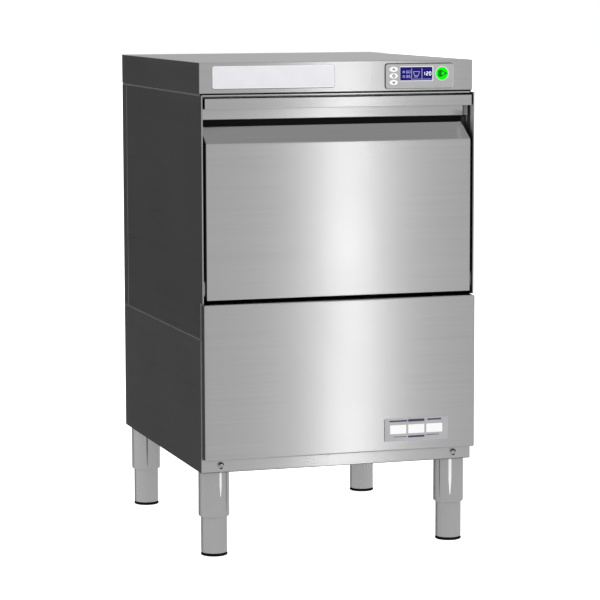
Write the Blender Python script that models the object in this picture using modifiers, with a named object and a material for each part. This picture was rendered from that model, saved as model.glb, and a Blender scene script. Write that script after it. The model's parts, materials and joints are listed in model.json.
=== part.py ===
"""Under-counter glass washer: a stainless cabinet on four legs with a drop-down door.

Metres, +Z up.  The origin is on the floor under the middle of the machine, the door
faces -Y, and left means -X.
"""

import math

import bmesh
import bpy
from mathutils import Matrix, Vector

# ---------------------------------------------------------------- driving sizes
WIDTH = 0.480
HALF = WIDTH / 2
REAR_Y = 0.2777
SHEET = 0.0012
GAP = 0.0003

# heights above the floor
HOOD_TOP = 0.8295
HOOD_BOTTOM = 0.778
PANEL_TOP = 0.7752
SEAM_Z = 0.370
KICK_TOP = 0.4302
KICK_BOTTOM = 0.1683
BASE_BOTTOM = 0.1445
SLEEVE_BOTTOM = 0.067

# front planes, from the foremost inwards
KICK_Y = -0.277
DOOR_Y = -0.2687
PANEL_Y = -0.268
HOOD_Y = -0.257
BASE_Y = -0.254
CHAMBER_Y = -0.204

# door
DOOR_HALF = 0.2326
DOOR_BOTTOM = 0.4364
DOOR_FOLD_Z = 0.696
DOOR_TOP = 0.7705
DOOR_TRAY_BACK = -0.2253
SLANT_RISE = 0.62
LIP_HALF = 0.234
LIP_BOTTOM = 0.753
LIP_RETURN = 0.006
HANDLE_BACK_Y = -0.2265
HANDLE_BACK_BOTTOM = 0.734
LINER_Y = -0.211
HINGE_Y = -0.250
HINGE_Z = 0.456
PIN_RADIUS = 0.004

# wash chamber (inside faces) and the tank under it
CHAMBER_HALF = 0.225
CHAMBER_BACK = 0.214
CHAMBER_FLOOR = 0.447
CHAMBER_CEILING = 0.765
ARM_Y = 0.005
ARM_REACH = 0.192
TANK_X = 0.130
TANK_FRONT = -0.110
TANK_BACK = 0.130
TANK_BOTTOM = 0.372
STANDPIPE_XY = (-0.095, 0.095)
HEATER_YS = (-0.080, -0.020)
HEATER_Z = 0.392

# front panel screws, and the inlet, outlet and gland under the base
SCREW_Z = 0.157
SCREW_XS = (-0.2066, 0.2083)
PORT_Y = 0.215
PORT_XS = (0.150, 0.090, -0.150)
PORT_RADII = (0.0125, 0.0120, 0.0098)

# legs
LEG_X = 0.211
LEG_FRONT_Y = -0.225
LEG_BACK_Y = 0.240
SLEEVE_RADIUS = 0.026
FOOT_RADIUS = 0.022
PAD_HEIGHT = 0.0046

# control panel on the hood front
BEZEL_X = 0.1437
BEZEL_Z = 0.8035
BEZEL_THICK = 0.0022
KEY_X = 0.0972
KEY_PITCH = 0.011
START_X = 0.1838
START_Z = 0.8069

ROUND = 24
COARSE = 16


# ---------------------------------------------------------------- scene set-up
for old in list(bpy.data.objects):
    bpy.data.objects.remove(old, do_unlink=True)


def collection(name):
    """Return an empty collection that is linked to the scene."""
    made = bpy.data.collections.new(name)
    bpy.context.scene.collection.children.link(made)
    return made


PARTS = collection("glass_washer")
CUTTERS = collection("cutters")


def material(name, colour, roughness, metallic=0.0):
    """Make a Principled BSDF material."""
    made = bpy.data.materials.new(name)
    made.use_nodes = True
    made.diffuse_color = (*colour, 1.0)
    shader = made.node_tree.nodes["Principled BSDF"]
    shader.inputs["Base Color"].default_value = (*colour, 1.0)
    shader.inputs["Roughness"].default_value = roughness
    shader.inputs["Metallic"].default_value = metallic
    return made


STEEL = material("brushed_stainless", (0.62, 0.62, 0.63), 0.30, 1.0)
SIDE_STEEL = material("side_stainless", (0.50, 0.50, 0.51), 0.36, 1.0)
INNER_STEEL = material("chamber_stainless", (0.66, 0.66, 0.67), 0.25, 1.0)
LEG_STEEL = material("leg_stainless", (0.64, 0.64, 0.66), 0.22, 1.0)
CHROME = material("bright_steel", (0.75, 0.75, 0.76), 0.15, 1.0)
BRASS = material("brass", (0.60, 0.45, 0.18), 0.30, 1.0)
BADGE = material("satin_aluminium", (0.70, 0.71, 0.73), 0.38, 0.9)
RUBBER = material("black_rubber", (0.02, 0.02, 0.02), 0.75)
BEZEL = material("bezel_plastic", (0.62, 0.64, 0.66), 0.40)
DISPLAY = material("display_blue", (0.02, 0.05, 0.35), 0.15)
KEY_WHITE = material("key_white", (0.85, 0.85, 0.85), 0.45)
KEY_GREEN = material("key_green", (0.03, 0.80, 0.10), 0.35)
LABEL = material("label_foil", (0.55, 0.55, 0.56), 0.45)
ARM_PLASTIC = material("arm_plastic", (0.10, 0.13, 0.16), 0.45)
PUMP_PAINT = material("pump_paint", (0.12, 0.13, 0.14), 0.50)
BOARD = material("circuit_board", (0.03, 0.22, 0.10), 0.50)


# ---------------------------------------------------------------- modelling tools
def add_mesh(name, mesh, surface, where=PARTS):
    """Link a mesh as a new object with its material."""
    made = bpy.data.objects.new(name, mesh)
    where.objects.link(made)
    if surface is not None:
        mesh.materials.append(surface)
    return made


def from_bmesh(name, bm, surface, where=PARTS):
    """Turn a bmesh into an object and free it."""
    mesh = bpy.data.meshes.new(name)
    bm.to_mesh(mesh)
    bm.free()
    return add_mesh(name, mesh, surface, where)


def cube(low, high):
    """Return a bmesh cube that spans two corners."""
    bm = bmesh.new()
    size = Vector(high) - Vector(low)
    middle = (Vector(high) + Vector(low)) / 2
    place = Matrix.Translation(middle) @ Matrix.Diagonal((*size, 1.0))
    bmesh.ops.create_cube(bm, size=1.0, matrix=place)
    return bm


def drop_faces(bm, *directions):
    """Delete the faces of a box that look along the given directions."""
    bm.normal_update()
    gone = [f for f in bm.faces for d in directions if f.normal.dot(Vector(d)) > 0.9]
    bmesh.ops.delete(bm, geom=list(set(gone)), context="FACES")


def bevel(obj, width, segments=2):
    """Round the edges of an object that turn by more than 30 degrees."""
    made = obj.modifiers.new("round_edges", "BEVEL")
    made.width = width
    made.segments = segments
    made.limit_method = "ANGLE"
    made.angle_limit = math.radians(30)


def thicken(obj, thickness=SHEET, sharp_folds=False):
    """Give a folded sheet its thickness, inwards from the faces it was drawn with."""
    made = obj.modifiers.new("sheet", "SOLIDIFY")
    made.thickness = thickness
    made.offset = -1.0
    made.use_even_offset = True
    if sharp_folds:
        made.solidify_mode = "NON_MANIFOLD"
        made.nonmanifold_thickness_mode = "CONSTRAINTS"
        made.nonmanifold_merge_threshold = 1e-6


def boolean(obj, tool, operation):
    """Cut an object with a tool, or join the tool to it."""
    tool.hide_render = True
    tool.display_type = "WIRE"
    if tool.name in PARTS.objects:
        PARTS.objects.unlink(tool)
        CUTTERS.objects.link(tool)
    made = obj.modifiers.new(tool.name, "BOOLEAN")
    made.operation = operation
    made.object = tool
    made.solver = "EXACT"


def box(name, low, high, surface, edge=0.0):
    """Make a block with rounded edges."""
    made = from_bmesh(name, cube(low, high), surface)
    if edge:
        bevel(made, edge)
    return made


def cutter_box(name, low, high):
    """Make a block that only cuts."""
    return from_bmesh(name, cube(low, high), None, CUTTERS)


def rod(name, start, end, radius, surface=None, segments=COARSE):
    """Make a cylinder between two points."""
    start = Vector(start)
    axis = Vector(end) - start
    bm = bmesh.new()
    turn = axis.to_track_quat("Z", "Y").to_matrix().to_4x4()
    place = Matrix.Translation(start + axis / 2) @ turn
    bmesh.ops.create_cone(bm, cap_ends=True, segments=segments, radius1=radius,
                          radius2=radius, depth=axis.length, matrix=place)
    return from_bmesh(name, bm, surface, CUTTERS if surface is None else PARTS)


def smooth(mesh):
    """Shade a round piece smooth and keep its real corners sharp."""
    mesh.shade_smooth()
    mesh.set_sharp_from_angle(angle=math.radians(35))


def turned(name, profile, surface, location=(0, 0, 0), rotation=(0, 0, 0), steps=COARSE,
           closed=False):
    """Turn a profile of (radius, height) points, outer side from top to bottom."""
    mesh = bpy.data.meshes.new(name)
    points = [(radius, 0.0, height) for radius, height in profile]
    edges = [(i, i + 1) for i in range(len(points) - 1)]
    if closed:
        edges.append((len(points) - 1, 0))
    mesh.from_pydata(points, edges, [])
    made = add_mesh(name, mesh, surface)
    made.location = location
    made.rotation_euler = rotation
    screw = made.modifiers.new("turn", "SCREW")
    screw.steps = steps
    screw.render_steps = steps
    screw.use_merge_vertices = True
    screw.merge_threshold = 1e-6
    screw.use_smooth_shade = True
    return made


def tube(name, points, radius, surface, smooth_sides=2):
    """Bend a round tube or wire through the points."""
    curve = bpy.data.curves.new(name, "CURVE")
    curve.dimensions = "3D"
    curve.bevel_depth = radius
    curve.bevel_resolution = smooth_sides
    curve.use_fill_caps = True
    spline = curve.splines.new("POLY")
    spline.points.add(len(points) - 1)
    for point, place in zip(spline.points, points):
        point.co = (*place, 1.0)
    return solid_from_curve(name, curve, surface)


def solid_from_curve(name, curve, surface, place=Matrix.Identity(4)):
    """Turn a curve object into a welded mesh object in the same place."""
    drawn = bpy.data.objects.new(name + "_curve", curve)
    PARTS.objects.link(drawn)
    drawn.matrix_world = place
    bpy.context.view_layer.update()
    graph = bpy.context.evaluated_depsgraph_get()
    mesh = bpy.data.meshes.new_from_object(drawn.evaluated_get(graph))
    bpy.data.objects.remove(drawn, do_unlink=True)
    bm = bmesh.new()
    bm.from_mesh(mesh)
    bmesh.ops.remove_doubles(bm, verts=bm.verts, dist=1e-6)
    bmesh.ops.recalc_face_normals(bm, faces=bm.faces)
    bm.to_mesh(mesh)
    bm.free()
    mesh.name = name
    mesh.materials.clear()
    made = add_mesh(name, mesh, surface)
    made.matrix_world = place
    return made


def outline_solid(name, outlines, thickness, surface, place=Matrix.Identity(4)):
    """Extrude flat outlines; outlines inside the first one are holes.

    The outlines lie in the local XY plane and the solid reaches half the thickness to
    each side of it.
    """
    curve = bpy.data.curves.new(name, "CURVE")
    curve.dimensions = "2D"
    curve.fill_mode = "BOTH"
    curve.extrude = thickness / 2
    for outline in outlines:
        spline = curve.splines.new("POLY")
        spline.points.add(len(outline) - 1)
        spline.use_cyclic_u = True
        for point, (x, y) in zip(spline.points, outline):
            point.co = (x, y, 0.0, 1.0)
    return solid_from_curve(name, curve, surface, place)


def rounded_rect(x, y, width, height, radius, steps=4):
    """List the corners of a rectangle about (x, y), with arcs at its corners."""
    points = []
    for quarter, (sx, sy) in enumerate(((1, 1), (-1, 1), (-1, -1), (1, -1))):
        cx = x + sx * (width / 2 - radius)
        cy = y + sy * (height / 2 - radius)
        for step in range(steps + 1):
            angle = math.radians(90 * (quarter + step / steps))
            points.append((cx + radius * math.cos(angle), cy + radius * math.sin(angle)))
    return points


def ellipse(x, y, rx, ry, steps=COARSE):
    """List points round an ellipse."""
    turns = [2 * math.pi * i / steps for i in range(steps)]
    return [(x + rx * math.cos(a), y + ry * math.sin(a)) for a in turns]


def facing_front(y):
    """Place local XY on world XZ at depth y, with local +Z towards the front."""
    return Matrix.Translation((0, y, 0)) @ Matrix.Rotation(math.radians(90), 4, "X")


def facing_side(x):
    """Place local XY on world YZ at x, with local +Z along +X."""
    turn = Matrix(((0, 0, 1, 0), (1, 0, 0, 0), (0, 1, 0, 0), (0, 0, 0, 1)))
    return Matrix.Translation((x, 0, 0)) @ turn


def bend(points, radius, steps=4):
    """Replace the inner corners of a path with arcs of the given radius."""
    path = [Vector(p) for p in points]
    out = [path[0]]
    for before, corner, after in zip(path, path[1:], path[2:]):
        back = (before - corner).normalized()
        ahead = (after - corner).normalized()
        half = back.angle(ahead) / 2
        run = radius / math.tan(half)
        centre = corner + (back + ahead).normalized() * (radius / math.sin(half))
        first = corner + back * run - centre
        last = corner + ahead * run - centre
        for step in range(steps + 1):
            mixed = first.lerp(last, step / steps)
            out.append(centre + mixed.normalized() * radius)
    out.append(path[-1])
    return out


# ---------------------------------------------------------------- casing
def make_hood():
    """Top hood: a folded lid, open below, with a window for the controls."""
    bm = cube((-HALF, HOOD_Y, HOOD_BOTTOM), (HALF, REAR_Y, HOOD_TOP))
    drop_faces(bm, (0, 0, -1))
    hood = from_bmesh("hood", bm, STEEL)
    bevel(hood, 0.0022)
    thicken(hood, 0.0015)
    window = cutter_box("control_window_cut", (BEZEL_X - 0.0562, HOOD_Y - 0.01, BEZEL_Z - 0.0175),
                        (BEZEL_X + 0.054, HOOD_Y + 0.01, BEZEL_Z + 0.0175))
    boolean(hood, window, "DIFFERENCE")
    box("top_front_rail", (-0.2365, -0.2580, 0.7732), (0.2365, -0.2155, 0.7761), STEEL, 0.0006)


def make_badge():
    """Blank name plate on the hood front."""
    thickness = 0.0010
    outline = rounded_rect(-0.1125, 0.8047, 0.2106, 0.0372, 0.003)
    outline_solid("badge_plate", [outline], thickness, BADGE,
                  facing_front(HOOD_Y - GAP - thickness / 2))


def make_side_panel(name, side):
    """Upper side panel with a hemmed front edge, notched over the front panel."""
    hem = 0.0030
    hem_back = PANEL_Y + 0.012
    rear = 0.245
    outline = [(side * HALF, PANEL_Y), (side * (HALF - hem), PANEL_Y),
               (side * (HALF - hem), hem_back), (side * (HALF - SHEET), hem_back + 0.002),
               (side * (HALF - SHEET), rear), (side * HALF, rear)]
    bottom = SEAM_Z + 0.0013
    place = Matrix.Translation((0, 0, (PANEL_TOP + bottom) / 2))
    panel = outline_solid(name, [outline], PANEL_TOP - bottom, SIDE_STEEL, place)
    near = min(side * 0.230, side * 0.245)
    notch = cutter_box(name + "_notch", (near, PANEL_Y - 0.01, SEAM_Z - 0.01),
                       (near + 0.015, BASE_Y + 0.0002, KICK_TOP + 0.0012))
    boolean(panel, notch, "DIFFERENCE")


def make_rear_cover():
    """Upper back cover, folded round both rear corners."""
    bm = cube((-HALF, 0.2458, SEAM_Z + 0.0013), (HALF, REAR_Y, PANEL_TOP))
    drop_faces(bm, (0, 0, 1), (0, 0, -1), (0, -1, 0))
    cover = from_bmesh("rear_cover", bm, SIDE_STEEL)
    bevel(cover, 0.0022)
    thicken(cover)


def make_base():
    """Lower housing that wraps three sides, and the base tray inside it."""
    bm = cube((-HALF, BASE_Y, BASE_BOTTOM), (HALF, REAR_Y, SEAM_Z - 0.0013))
    drop_faces(bm, (0, 0, 1), (0, 0, -1), (0, -1, 0))
    housing = from_bmesh("base_housing", bm, SIDE_STEEL)
    bevel(housing, 0.0022)
    thicken(housing)

    inset = SHEET + GAP
    bm = cube((-HALF + inset, BASE_Y, BASE_BOTTOM + 0.0003),
              (HALF - inset, REAR_Y - inset, KICK_BOTTOM - 0.0006))
    drop_faces(bm, (0, 0, 1))
    tray = from_bmesh("base_tray", bm, STEEL)
    bevel(tray, 0.0018)
    thicken(tray, 0.0015)
    for x in SCREW_XS:
        hole = rod("screw_hole", (x, BASE_Y - 0.01, SCREW_Z), (x, BASE_Y + 0.01, SCREW_Z),
                   0.0025, segments=12)
        boolean(tray, hole, "DIFFERENCE")
    for x, radius in zip(PORT_XS, PORT_RADII):
        hole = rod("port_hole", (x, PORT_Y, BASE_BOTTOM - 0.01), (x, PORT_Y, BASE_BOTTOM + 0.01),
                   radius + GAP)
        boolean(tray, hole, "DIFFERENCE")


def make_front_panel():
    """Lower front panel: a shallow tray that covers the machine compartment."""
    bm = cube((-HALF, KICK_Y, KICK_BOTTOM), (HALF, BASE_Y - 0.0006, KICK_TOP))
    drop_faces(bm, (0, 1, 0))
    panel = from_bmesh("front_panel", bm, STEEL)
    bevel(panel, 0.0030)
    thicken(panel)
    notch = cutter_box("door_swing_cut", (-0.2365, KICK_Y + 0.015, KICK_TOP - 0.005),
                       (0.2365, BASE_Y + 0.01, KICK_TOP + 0.005))
    boolean(panel, notch, "DIFFERENCE")

    thickness = 0.0004
    outline = rounded_rect(0.1328, 0.2046, 0.1150, 0.0393, 0.002, 3)
    outline_solid("rating_label", [outline], thickness, LABEL,
                  facing_front(KICK_Y - GAP - thickness / 2))


def make_screws():
    """Pan-head screws that hold the front panel to the base tray."""
    for name, x in zip(("left_panel_screw", "right_panel_screw"), SCREW_XS):
        profile = [(0, 0.0036), (0.0028, 0.0034), (0.0046, 0.0022), (0.0052, 0.0006),
                   (0.0052, 0), (0.0020, 0), (0.0020, -0.008), (0, -0.008)]
        turned(name, profile, CHROME, (x, BASE_Y - GAP, SCREW_Z), (math.radians(90), 0, 0), 16)


def make_legs():
    """Four legs: a fixed sleeve, a foot tube that screws down out of it, and its pad."""
    corners = {"front_left": (-LEG_X, LEG_FRONT_Y), "front_right": (LEG_X, LEG_FRONT_Y),
               "back_left": (-LEG_X, LEG_BACK_Y), "back_right": (LEG_X, LEG_BACK_Y)}
    top = BASE_BOTTOM - GAP
    bore = FOOT_RADIUS + 0.0005
    for corner, (x, y) in corners.items():
        sleeve = [(0, top), (SLEEVE_RADIUS, top), (SLEEVE_RADIUS, SLEEVE_BOTTOM + 0.001),
                  (SLEEVE_RADIUS - 0.001, SLEEVE_BOTTOM), (bore, SLEEVE_BOTTOM),
                  (bore, top - 0.003), (0, top - 0.003)]
        turned("leg_sleeve_" + corner, sleeve, LEG_STEEL, (x, y, 0), steps=ROUND)
        wall = FOOT_RADIUS - 0.0015
        bottom = PAD_HEIGHT + GAP
        foot = [(wall, 0.135), (FOOT_RADIUS, 0.135), (FOOT_RADIUS, bottom), (0, bottom),
                (0, bottom + 0.002), (wall, bottom + 0.002)]
        turned("foot_tube_" + corner, foot, LEG_STEEL, (x, y, 0), steps=ROUND, closed=True)
        pad = [(0, PAD_HEIGHT), (FOOT_RADIUS, PAD_HEIGHT), (FOOT_RADIUS + 0.0006, 0.0028),
               (FOOT_RADIUS + 0.0006, 0.0014), (FOOT_RADIUS - 0.0010, 0), (0, 0)]
        turned("foot_pad_" + corner, pad, RUBBER, (x, y, 0), steps=ROUND)


# ---------------------------------------------------------------- controls
def make_controls():
    """Bezel with display and keys, and the circuit board behind them."""
    key_rx, key_ry = 0.0078, 0.0046
    start_radius = 0.0107
    key_zs = {"up_button": BEZEL_Z + KEY_PITCH, "select_button": BEZEL_Z,
              "down_button": BEZEL_Z - KEY_PITCH}
    clear = GAP + 0.0001
    outlines = [rounded_rect(BEZEL_X, BEZEL_Z - 0.0008, 0.1202, 0.0408, 0.004)]
    outlines += [ellipse(KEY_X, z, key_rx + clear, key_ry + clear) for z in key_zs.values()]
    display = (0.1376, 0.8068, 0.0582, 0.0230)
    outlines.append(rounded_rect(*display[:2], display[2] + 2 * clear, display[3] + 2 * clear,
                                 0.0015, 2))
    outlines.append(ellipse(START_X, START_Z, start_radius + clear, start_radius + clear))
    bezel_mid = HOOD_Y - GAP - BEZEL_THICK / 2
    outline_solid("control_bezel", outlines, BEZEL_THICK, BEZEL, facing_front(bezel_mid))
    outline_solid("display_window", [rounded_rect(*display, 0.0012, 2)], 0.0030, DISPLAY,
                  facing_front(bezel_mid - 0.0002))

    front = HOOD_Y - GAP - BEZEL_THICK
    turn = (math.radians(90), 0, 0)
    for name, z in key_zs.items():
        make_key(name, KEY_X, z, front, turn, KEY_WHITE, key_rx, key_ry)
    make_key("start_button", START_X, START_Z, front, turn, KEY_GREEN, start_radius,
             start_radius)
    box("control_board", (BEZEL_X - 0.052, HOOD_Y + 0.006, BEZEL_Z - 0.0165),
        (BEZEL_X + 0.052, HOOD_Y + 0.0076, BEZEL_Z + 0.0165), BOARD)


def make_key(name, x, z, front, turn, surface, rx, ry):
    """Key cap with a retaining flange behind the bezel; it travels 1 mm inwards."""
    flange = 1.0 + 0.0007 / ry
    behind = -(BEZEL_THICK + GAP)
    profile = [(0, 0.0012), (0.80, 0.0012), (0.95, 0.0008), (1.0, 0.0002), (1.0, behind),
               (flange, behind), (flange, behind - 0.0008), (0.5, behind - 0.0008),
               (0.5, behind - 0.0030), (0, behind - 0.0030)]
    profile = [(r * ry, h) for r, h in profile]
    key = turned(name, profile, surface, (x, front, z), turn)
    key.scale = (rx / ry, 1.0, 1.0)


# ---------------------------------------------------------------- door
def make_door():
    """Drop-down door: outer skin, stepped handle strip with its lip, and inner liner."""
    hinge = bpy.data.objects.new("door_pivot", None)
    PARTS.objects.link(hinge)
    hinge.location = (0, HINGE_Y, HINGE_Z)
    bpy.context.view_layer.update()

    tray_top = DOOR_FOLD_Z + (DOOR_TRAY_BACK - DOOR_Y) * SLANT_RISE
    bm = cube((-DOOR_HALF, DOOR_Y, DOOR_BOTTOM), (DOOR_HALF, DOOR_TRAY_BACK, DOOR_FOLD_Z))
    for vert in bm.verts:
        if vert.co.z > DOOR_FOLD_Z - 0.001 and vert.co.y > DOOR_Y + 0.001:
            vert.co.z = tray_top
    drop_faces(bm, (0, 1, 0))
    rim = [e for e in bm.edges if e.is_boundary and
           all(v.co.z > tray_top - 0.001 for v in e.verts)]
    flap = bmesh.ops.extrude_edge_only(bm, edges=rim)["geom"]
    flap_depth = 0.0115
    for vert in (g for g in flap if isinstance(g, bmesh.types.BMVert)):
        vert.co.y += flap_depth
        vert.co.z += flap_depth * SLANT_RISE
    skin = from_bmesh("door_outer_skin", bm, STEEL)
    bevel(skin, 0.0018)
    thicken(skin)
    for side in (-1, 1):
        near, far = sorted((side * 0.2250, side * 0.2400))
        corner = cutter_box("slant_corner_cut", (near, DOOR_TRAY_BACK - 0.0001, DOOR_FOLD_Z),
                            (far, LINER_Y, DOOR_TOP))
        boolean(skin, corner, "DIFFERENCE")
    hole = rod("hinge_hole", (-0.26, HINGE_Y, HINGE_Z), (0.26, HINGE_Y, HINGE_Z),
               PIN_RADIUS + GAP, segments=16)
    boolean(skin, hole, "DIFFERENCE")

    profile = [(HANDLE_BACK_Y, HANDLE_BACK_BOTTOM), (HANDLE_BACK_Y, LIP_BOTTOM),
               (DOOR_Y, LIP_BOTTOM), (DOOR_Y, DOOR_TOP), (DOOR_Y + LIP_RETURN, DOOR_TOP)]
    channel = folded_strip("door_handle_channel", profile, LIP_HALF, STEEL)
    bevel(channel, 0.0016)
    thicken(channel)

    liner_sheet = 0.0010
    pan_front = DOOR_TRAY_BACK + GAP + liner_sheet
    bm = cube((-0.227, pan_front, 0.460), (0.227, LINER_Y, 0.7645))
    drop_faces(bm, (0, -1, 0))
    add_flange(bm, "y", pan_front, 0.0045, bottom_reach=0.0225)
    liner = from_bmesh("door_inner_liner", bm, INNER_STEEL)
    thicken(liner, liner_sheet, sharp_folds=True)

    for piece in (skin, channel, liner):
        piece.parent = hinge
        piece.matrix_parent_inverse = hinge.matrix_world.inverted()


def folded_strip(name, profile, half, surface):
    """Fold a sheet along X through (y, z) points; it stays an open surface."""
    bm = bmesh.new()
    start = [bm.verts.new((-half, y, z)) for y, z in profile]
    edges = [bm.edges.new(pair) for pair in zip(start, start[1:])]
    grown = bmesh.ops.extrude_edge_only(bm, edges=edges)["geom"]
    moved = [g for g in grown if isinstance(g, bmesh.types.BMVert)]
    bmesh.ops.translate(bm, verts=moved, vec=(2 * half, 0, 0))
    return from_bmesh(name, bm, surface)


def add_flange(bm, axis, level, reach, bottom_reach=None, top_reach=None):
    """Fold the open rim of a box outwards into a flange in its own plane."""
    index = "xyz".index(axis)
    rim = [e for e in bm.edges if e.is_boundary]
    grown = bmesh.ops.extrude_edge_only(bm, edges=rim)["geom"]
    verts = [g for g in grown if isinstance(g, bmesh.types.BMVert)]
    across = [i for i in range(3) if i != index]
    middle = [(min(v.co[i] for v in verts) + max(v.co[i] for v in verts)) / 2 for i in across]
    for vert in verts:
        vert.co[index] = level
        for place, i in enumerate(across):
            up = vert.co[i] > middle[place]
            step = reach
            if i == 2 and up and top_reach is not None:
                step = top_reach
            if i == 2 and not up and bottom_reach is not None:
                step = bottom_reach
            vert.co[i] += step if up else -step


def make_hinges():
    """Pivot pins in side brackets, each with the torsion spring that carries the door."""
    for side_name, side in (("left", -1), ("right", 1)):
        outline = rounded_rect(-0.234, 0.4560, 0.056, 0.030, 0.006, 3)
        hole = ellipse(HINGE_Y, HINGE_Z, PIN_RADIUS + GAP, PIN_RADIUS + GAP, 16)
        outline_solid("hinge_bracket_" + side_name, [outline, hole], 0.0022, CHROME,
                      facing_side(side * 0.2348))
        rod("hinge_pin_" + side_name, (side * 0.2045, HINGE_Y, HINGE_Z),
            (side * 0.2362, HINGE_Y, HINGE_Z), PIN_RADIUS, CHROME, 16)
        turns, pitch, radius, per_turn = 5, 0.0032, 0.0068, 8
        count = turns * per_turn + 1
        start = side * 0.2085
        coil = []
        for i in range(count):
            angle = 2 * math.pi * i / per_turn
            coil.append((start + side * pitch * i / per_turn,
                         HINGE_Y + radius * math.cos(angle),
                         HINGE_Z + radius * math.sin(angle)))
        tube("door_spring_" + side_name, coil, 0.0011, CHROME, 1)


# ---------------------------------------------------------------- wash chamber
def make_chamber():
    """Stainless wash chamber, open to the front, with its flange and seal."""
    bm = cube((-CHAMBER_HALF, CHAMBER_Y, CHAMBER_FLOOR),
              (CHAMBER_HALF, CHAMBER_BACK, CHAMBER_CEILING))
    drop_faces(bm, (0, -1, 0))
    add_flange(bm, "y", CHAMBER_Y, 0.0115, bottom_reach=0.012, top_reach=0.0065)
    bmesh.ops.reverse_faces(bm, faces=bm.faces)
    chamber = from_bmesh("wash_chamber", bm, INNER_STEEL)
    bevel(chamber, 0.0060)
    thicken(chamber)
    well = cutter_box("tank_opening_cut", (-TANK_X + 0.002, TANK_FRONT + 0.002, 0.440),
                      (TANK_X - 0.002, TANK_BACK - 0.002, 0.455))
    boolean(chamber, well, "DIFFERENCE")
    hole = rod("upper_spindle_cut", (0, ARM_Y, 0.755), (0, ARM_Y, 0.775), 0.0105)
    boolean(chamber, hole, "DIFFERENCE")

    thickness = 0.0058
    middle_z = 0.6145
    outer = rounded_rect(0, middle_z, 0.4480, 0.2990, 0.012)
    inner = rounded_rect(0, middle_z, 0.4300, 0.2810, 0.006)
    outline_solid("door_seal", [outer, inner], thickness, RUBBER,
                  facing_front(CHAMBER_Y - GAP - thickness / 2))

    for name, side in (("rack_rail_left", -1), ("rack_rail_right", 1)):
        wall = side * (CHAMBER_HALF - SHEET - GAP)
        foot = side * (CHAMBER_HALF - 0.022)
        sheet = 0.0020
        outline = [(wall, 0.476), (wall, 0.497), (foot, 0.497), (foot, 0.497 - sheet),
                   (wall - side * sheet, 0.497 - sheet), (wall - side * sheet, 0.476)]
        length = 0.390
        outline_solid(name, [outline], length, INNER_STEEL, facing_front(ARM_Y))


def make_tank():
    """Wash tank under the chamber, with strainer, standpipe and heater."""
    top = CHAMBER_FLOOR - 2 * SHEET - 2 * GAP
    bm = cube((-TANK_X, TANK_FRONT, TANK_BOTTOM), (TANK_X, TANK_BACK, top))
    drop_faces(bm, (0, 0, 1))
    rim = [e for e in bm.edges if e.is_boundary]
    grown = bmesh.ops.extrude_edge_only(bm, edges=rim)["geom"]
    middle = (TANK_FRONT + TANK_BACK) / 2
    for vert in (g for g in grown if isinstance(g, bmesh.types.BMVert)):
        vert.co.x += math.copysign(0.012, vert.co.x)
        vert.co.y += math.copysign(0.012, vert.co.y - middle)
    tank = from_bmesh("wash_tank", bm, INNER_STEEL)
    bevel(tank, 0.0050)
    thicken(tank)
    pedestal_hole = rod("pedestal_cut", (0, ARM_Y, 0.365), (0, ARM_Y, 0.380), 0.0125)
    boolean(tank, pedestal_hole, "DIFFERENCE")
    drain_hole = rod("drain_cut", (*STANDPIPE_XY, 0.365), (*STANDPIPE_XY, 0.380), 0.0145)
    boolean(tank, drain_hole, "DIFFERENCE")
    for y in HEATER_YS:
        hole = rod("heater_cut", (TANK_X - 0.01, y, HEATER_Z), (TANK_X + 0.01, y, HEATER_Z),
                   0.0040 + GAP, segments=12)
        boolean(tank, hole, "DIFFERENCE")

    tray_z = CHAMBER_FLOOR + GAP + 0.0006
    outline = rounded_rect(0, (TANK_FRONT + TANK_BACK) / 2, 0.290, 0.268, 0.010)
    holes = [ellipse(0, ARM_Y, 0.0135, 0.0135)]
    slots_across = 4
    for row in (-1, 1):
        for column in range(slots_across):
            x = (column - (slots_across - 1) / 2) * 0.064
            y = ARM_Y + row * 0.066
            holes.append(rounded_rect(x, y, 0.016, 0.072, 0.0079, 2))
    outline_solid("tank_strainer", [outline, *holes], 0.0012, INNER_STEEL,
                  Matrix.Translation((0, 0, tray_z)))

    x, y = STANDPIPE_XY
    profile = [(0.0115, 0.438), (0.0140, 0.438), (0.0140, 0.376), (0.0190, 0.3755),
               (0.0190, 0.3736), (0.0140, 0.3734), (0.0140, 0.352), (0.0115, 0.352)]
    turned("overflow_standpipe", profile, ARM_PLASTIC, (x, y, 0), closed=True)

    reach_x = -0.085
    loop = [(TANK_X + 0.018, HEATER_YS[0], HEATER_Z), (reach_x, HEATER_YS[0], HEATER_Z),
            (reach_x, HEATER_YS[1], HEATER_Z), (TANK_X + 0.018, HEATER_YS[1], HEATER_Z)]
    tube("tank_heater", bend(loop, 0.020, 5), 0.0040, CHROME)


def make_arm(name, z, reach, blade, thickness, hub_radius, hub_height):
    """Spray arm: two tapered blades on a hub that turns on the spindle."""
    pivot = Matrix.Translation((0, ARM_Y, z))
    outline = []
    for end in (0, 1):
        for step in range(-2, 3):
            angle = math.radians(180 * end + step * 45)
            tip = reach - blade * 0.7
            outline.append((tip * (1 - 2 * end) + blade * 0.7 * math.cos(angle),
                            blade * 0.7 * math.sin(angle)))
        waist = blade * 1.2
        outline.append((0, waist if end == 0 else -waist))
    bore = 0.0100
    arm = outline_solid(name, [outline, ellipse(0, 0, bore, bore)], thickness, ARM_PLASTIC,
                        pivot)
    profile = [(bore, hub_height / 2), (hub_radius, hub_height / 2),
               (hub_radius, -hub_height / 2), (bore, -hub_height / 2)]
    hub = turned(name + "_hub", profile, None, (0, ARM_Y, z), closed=True)
    boolean(arm, hub, "UNION")


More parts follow.
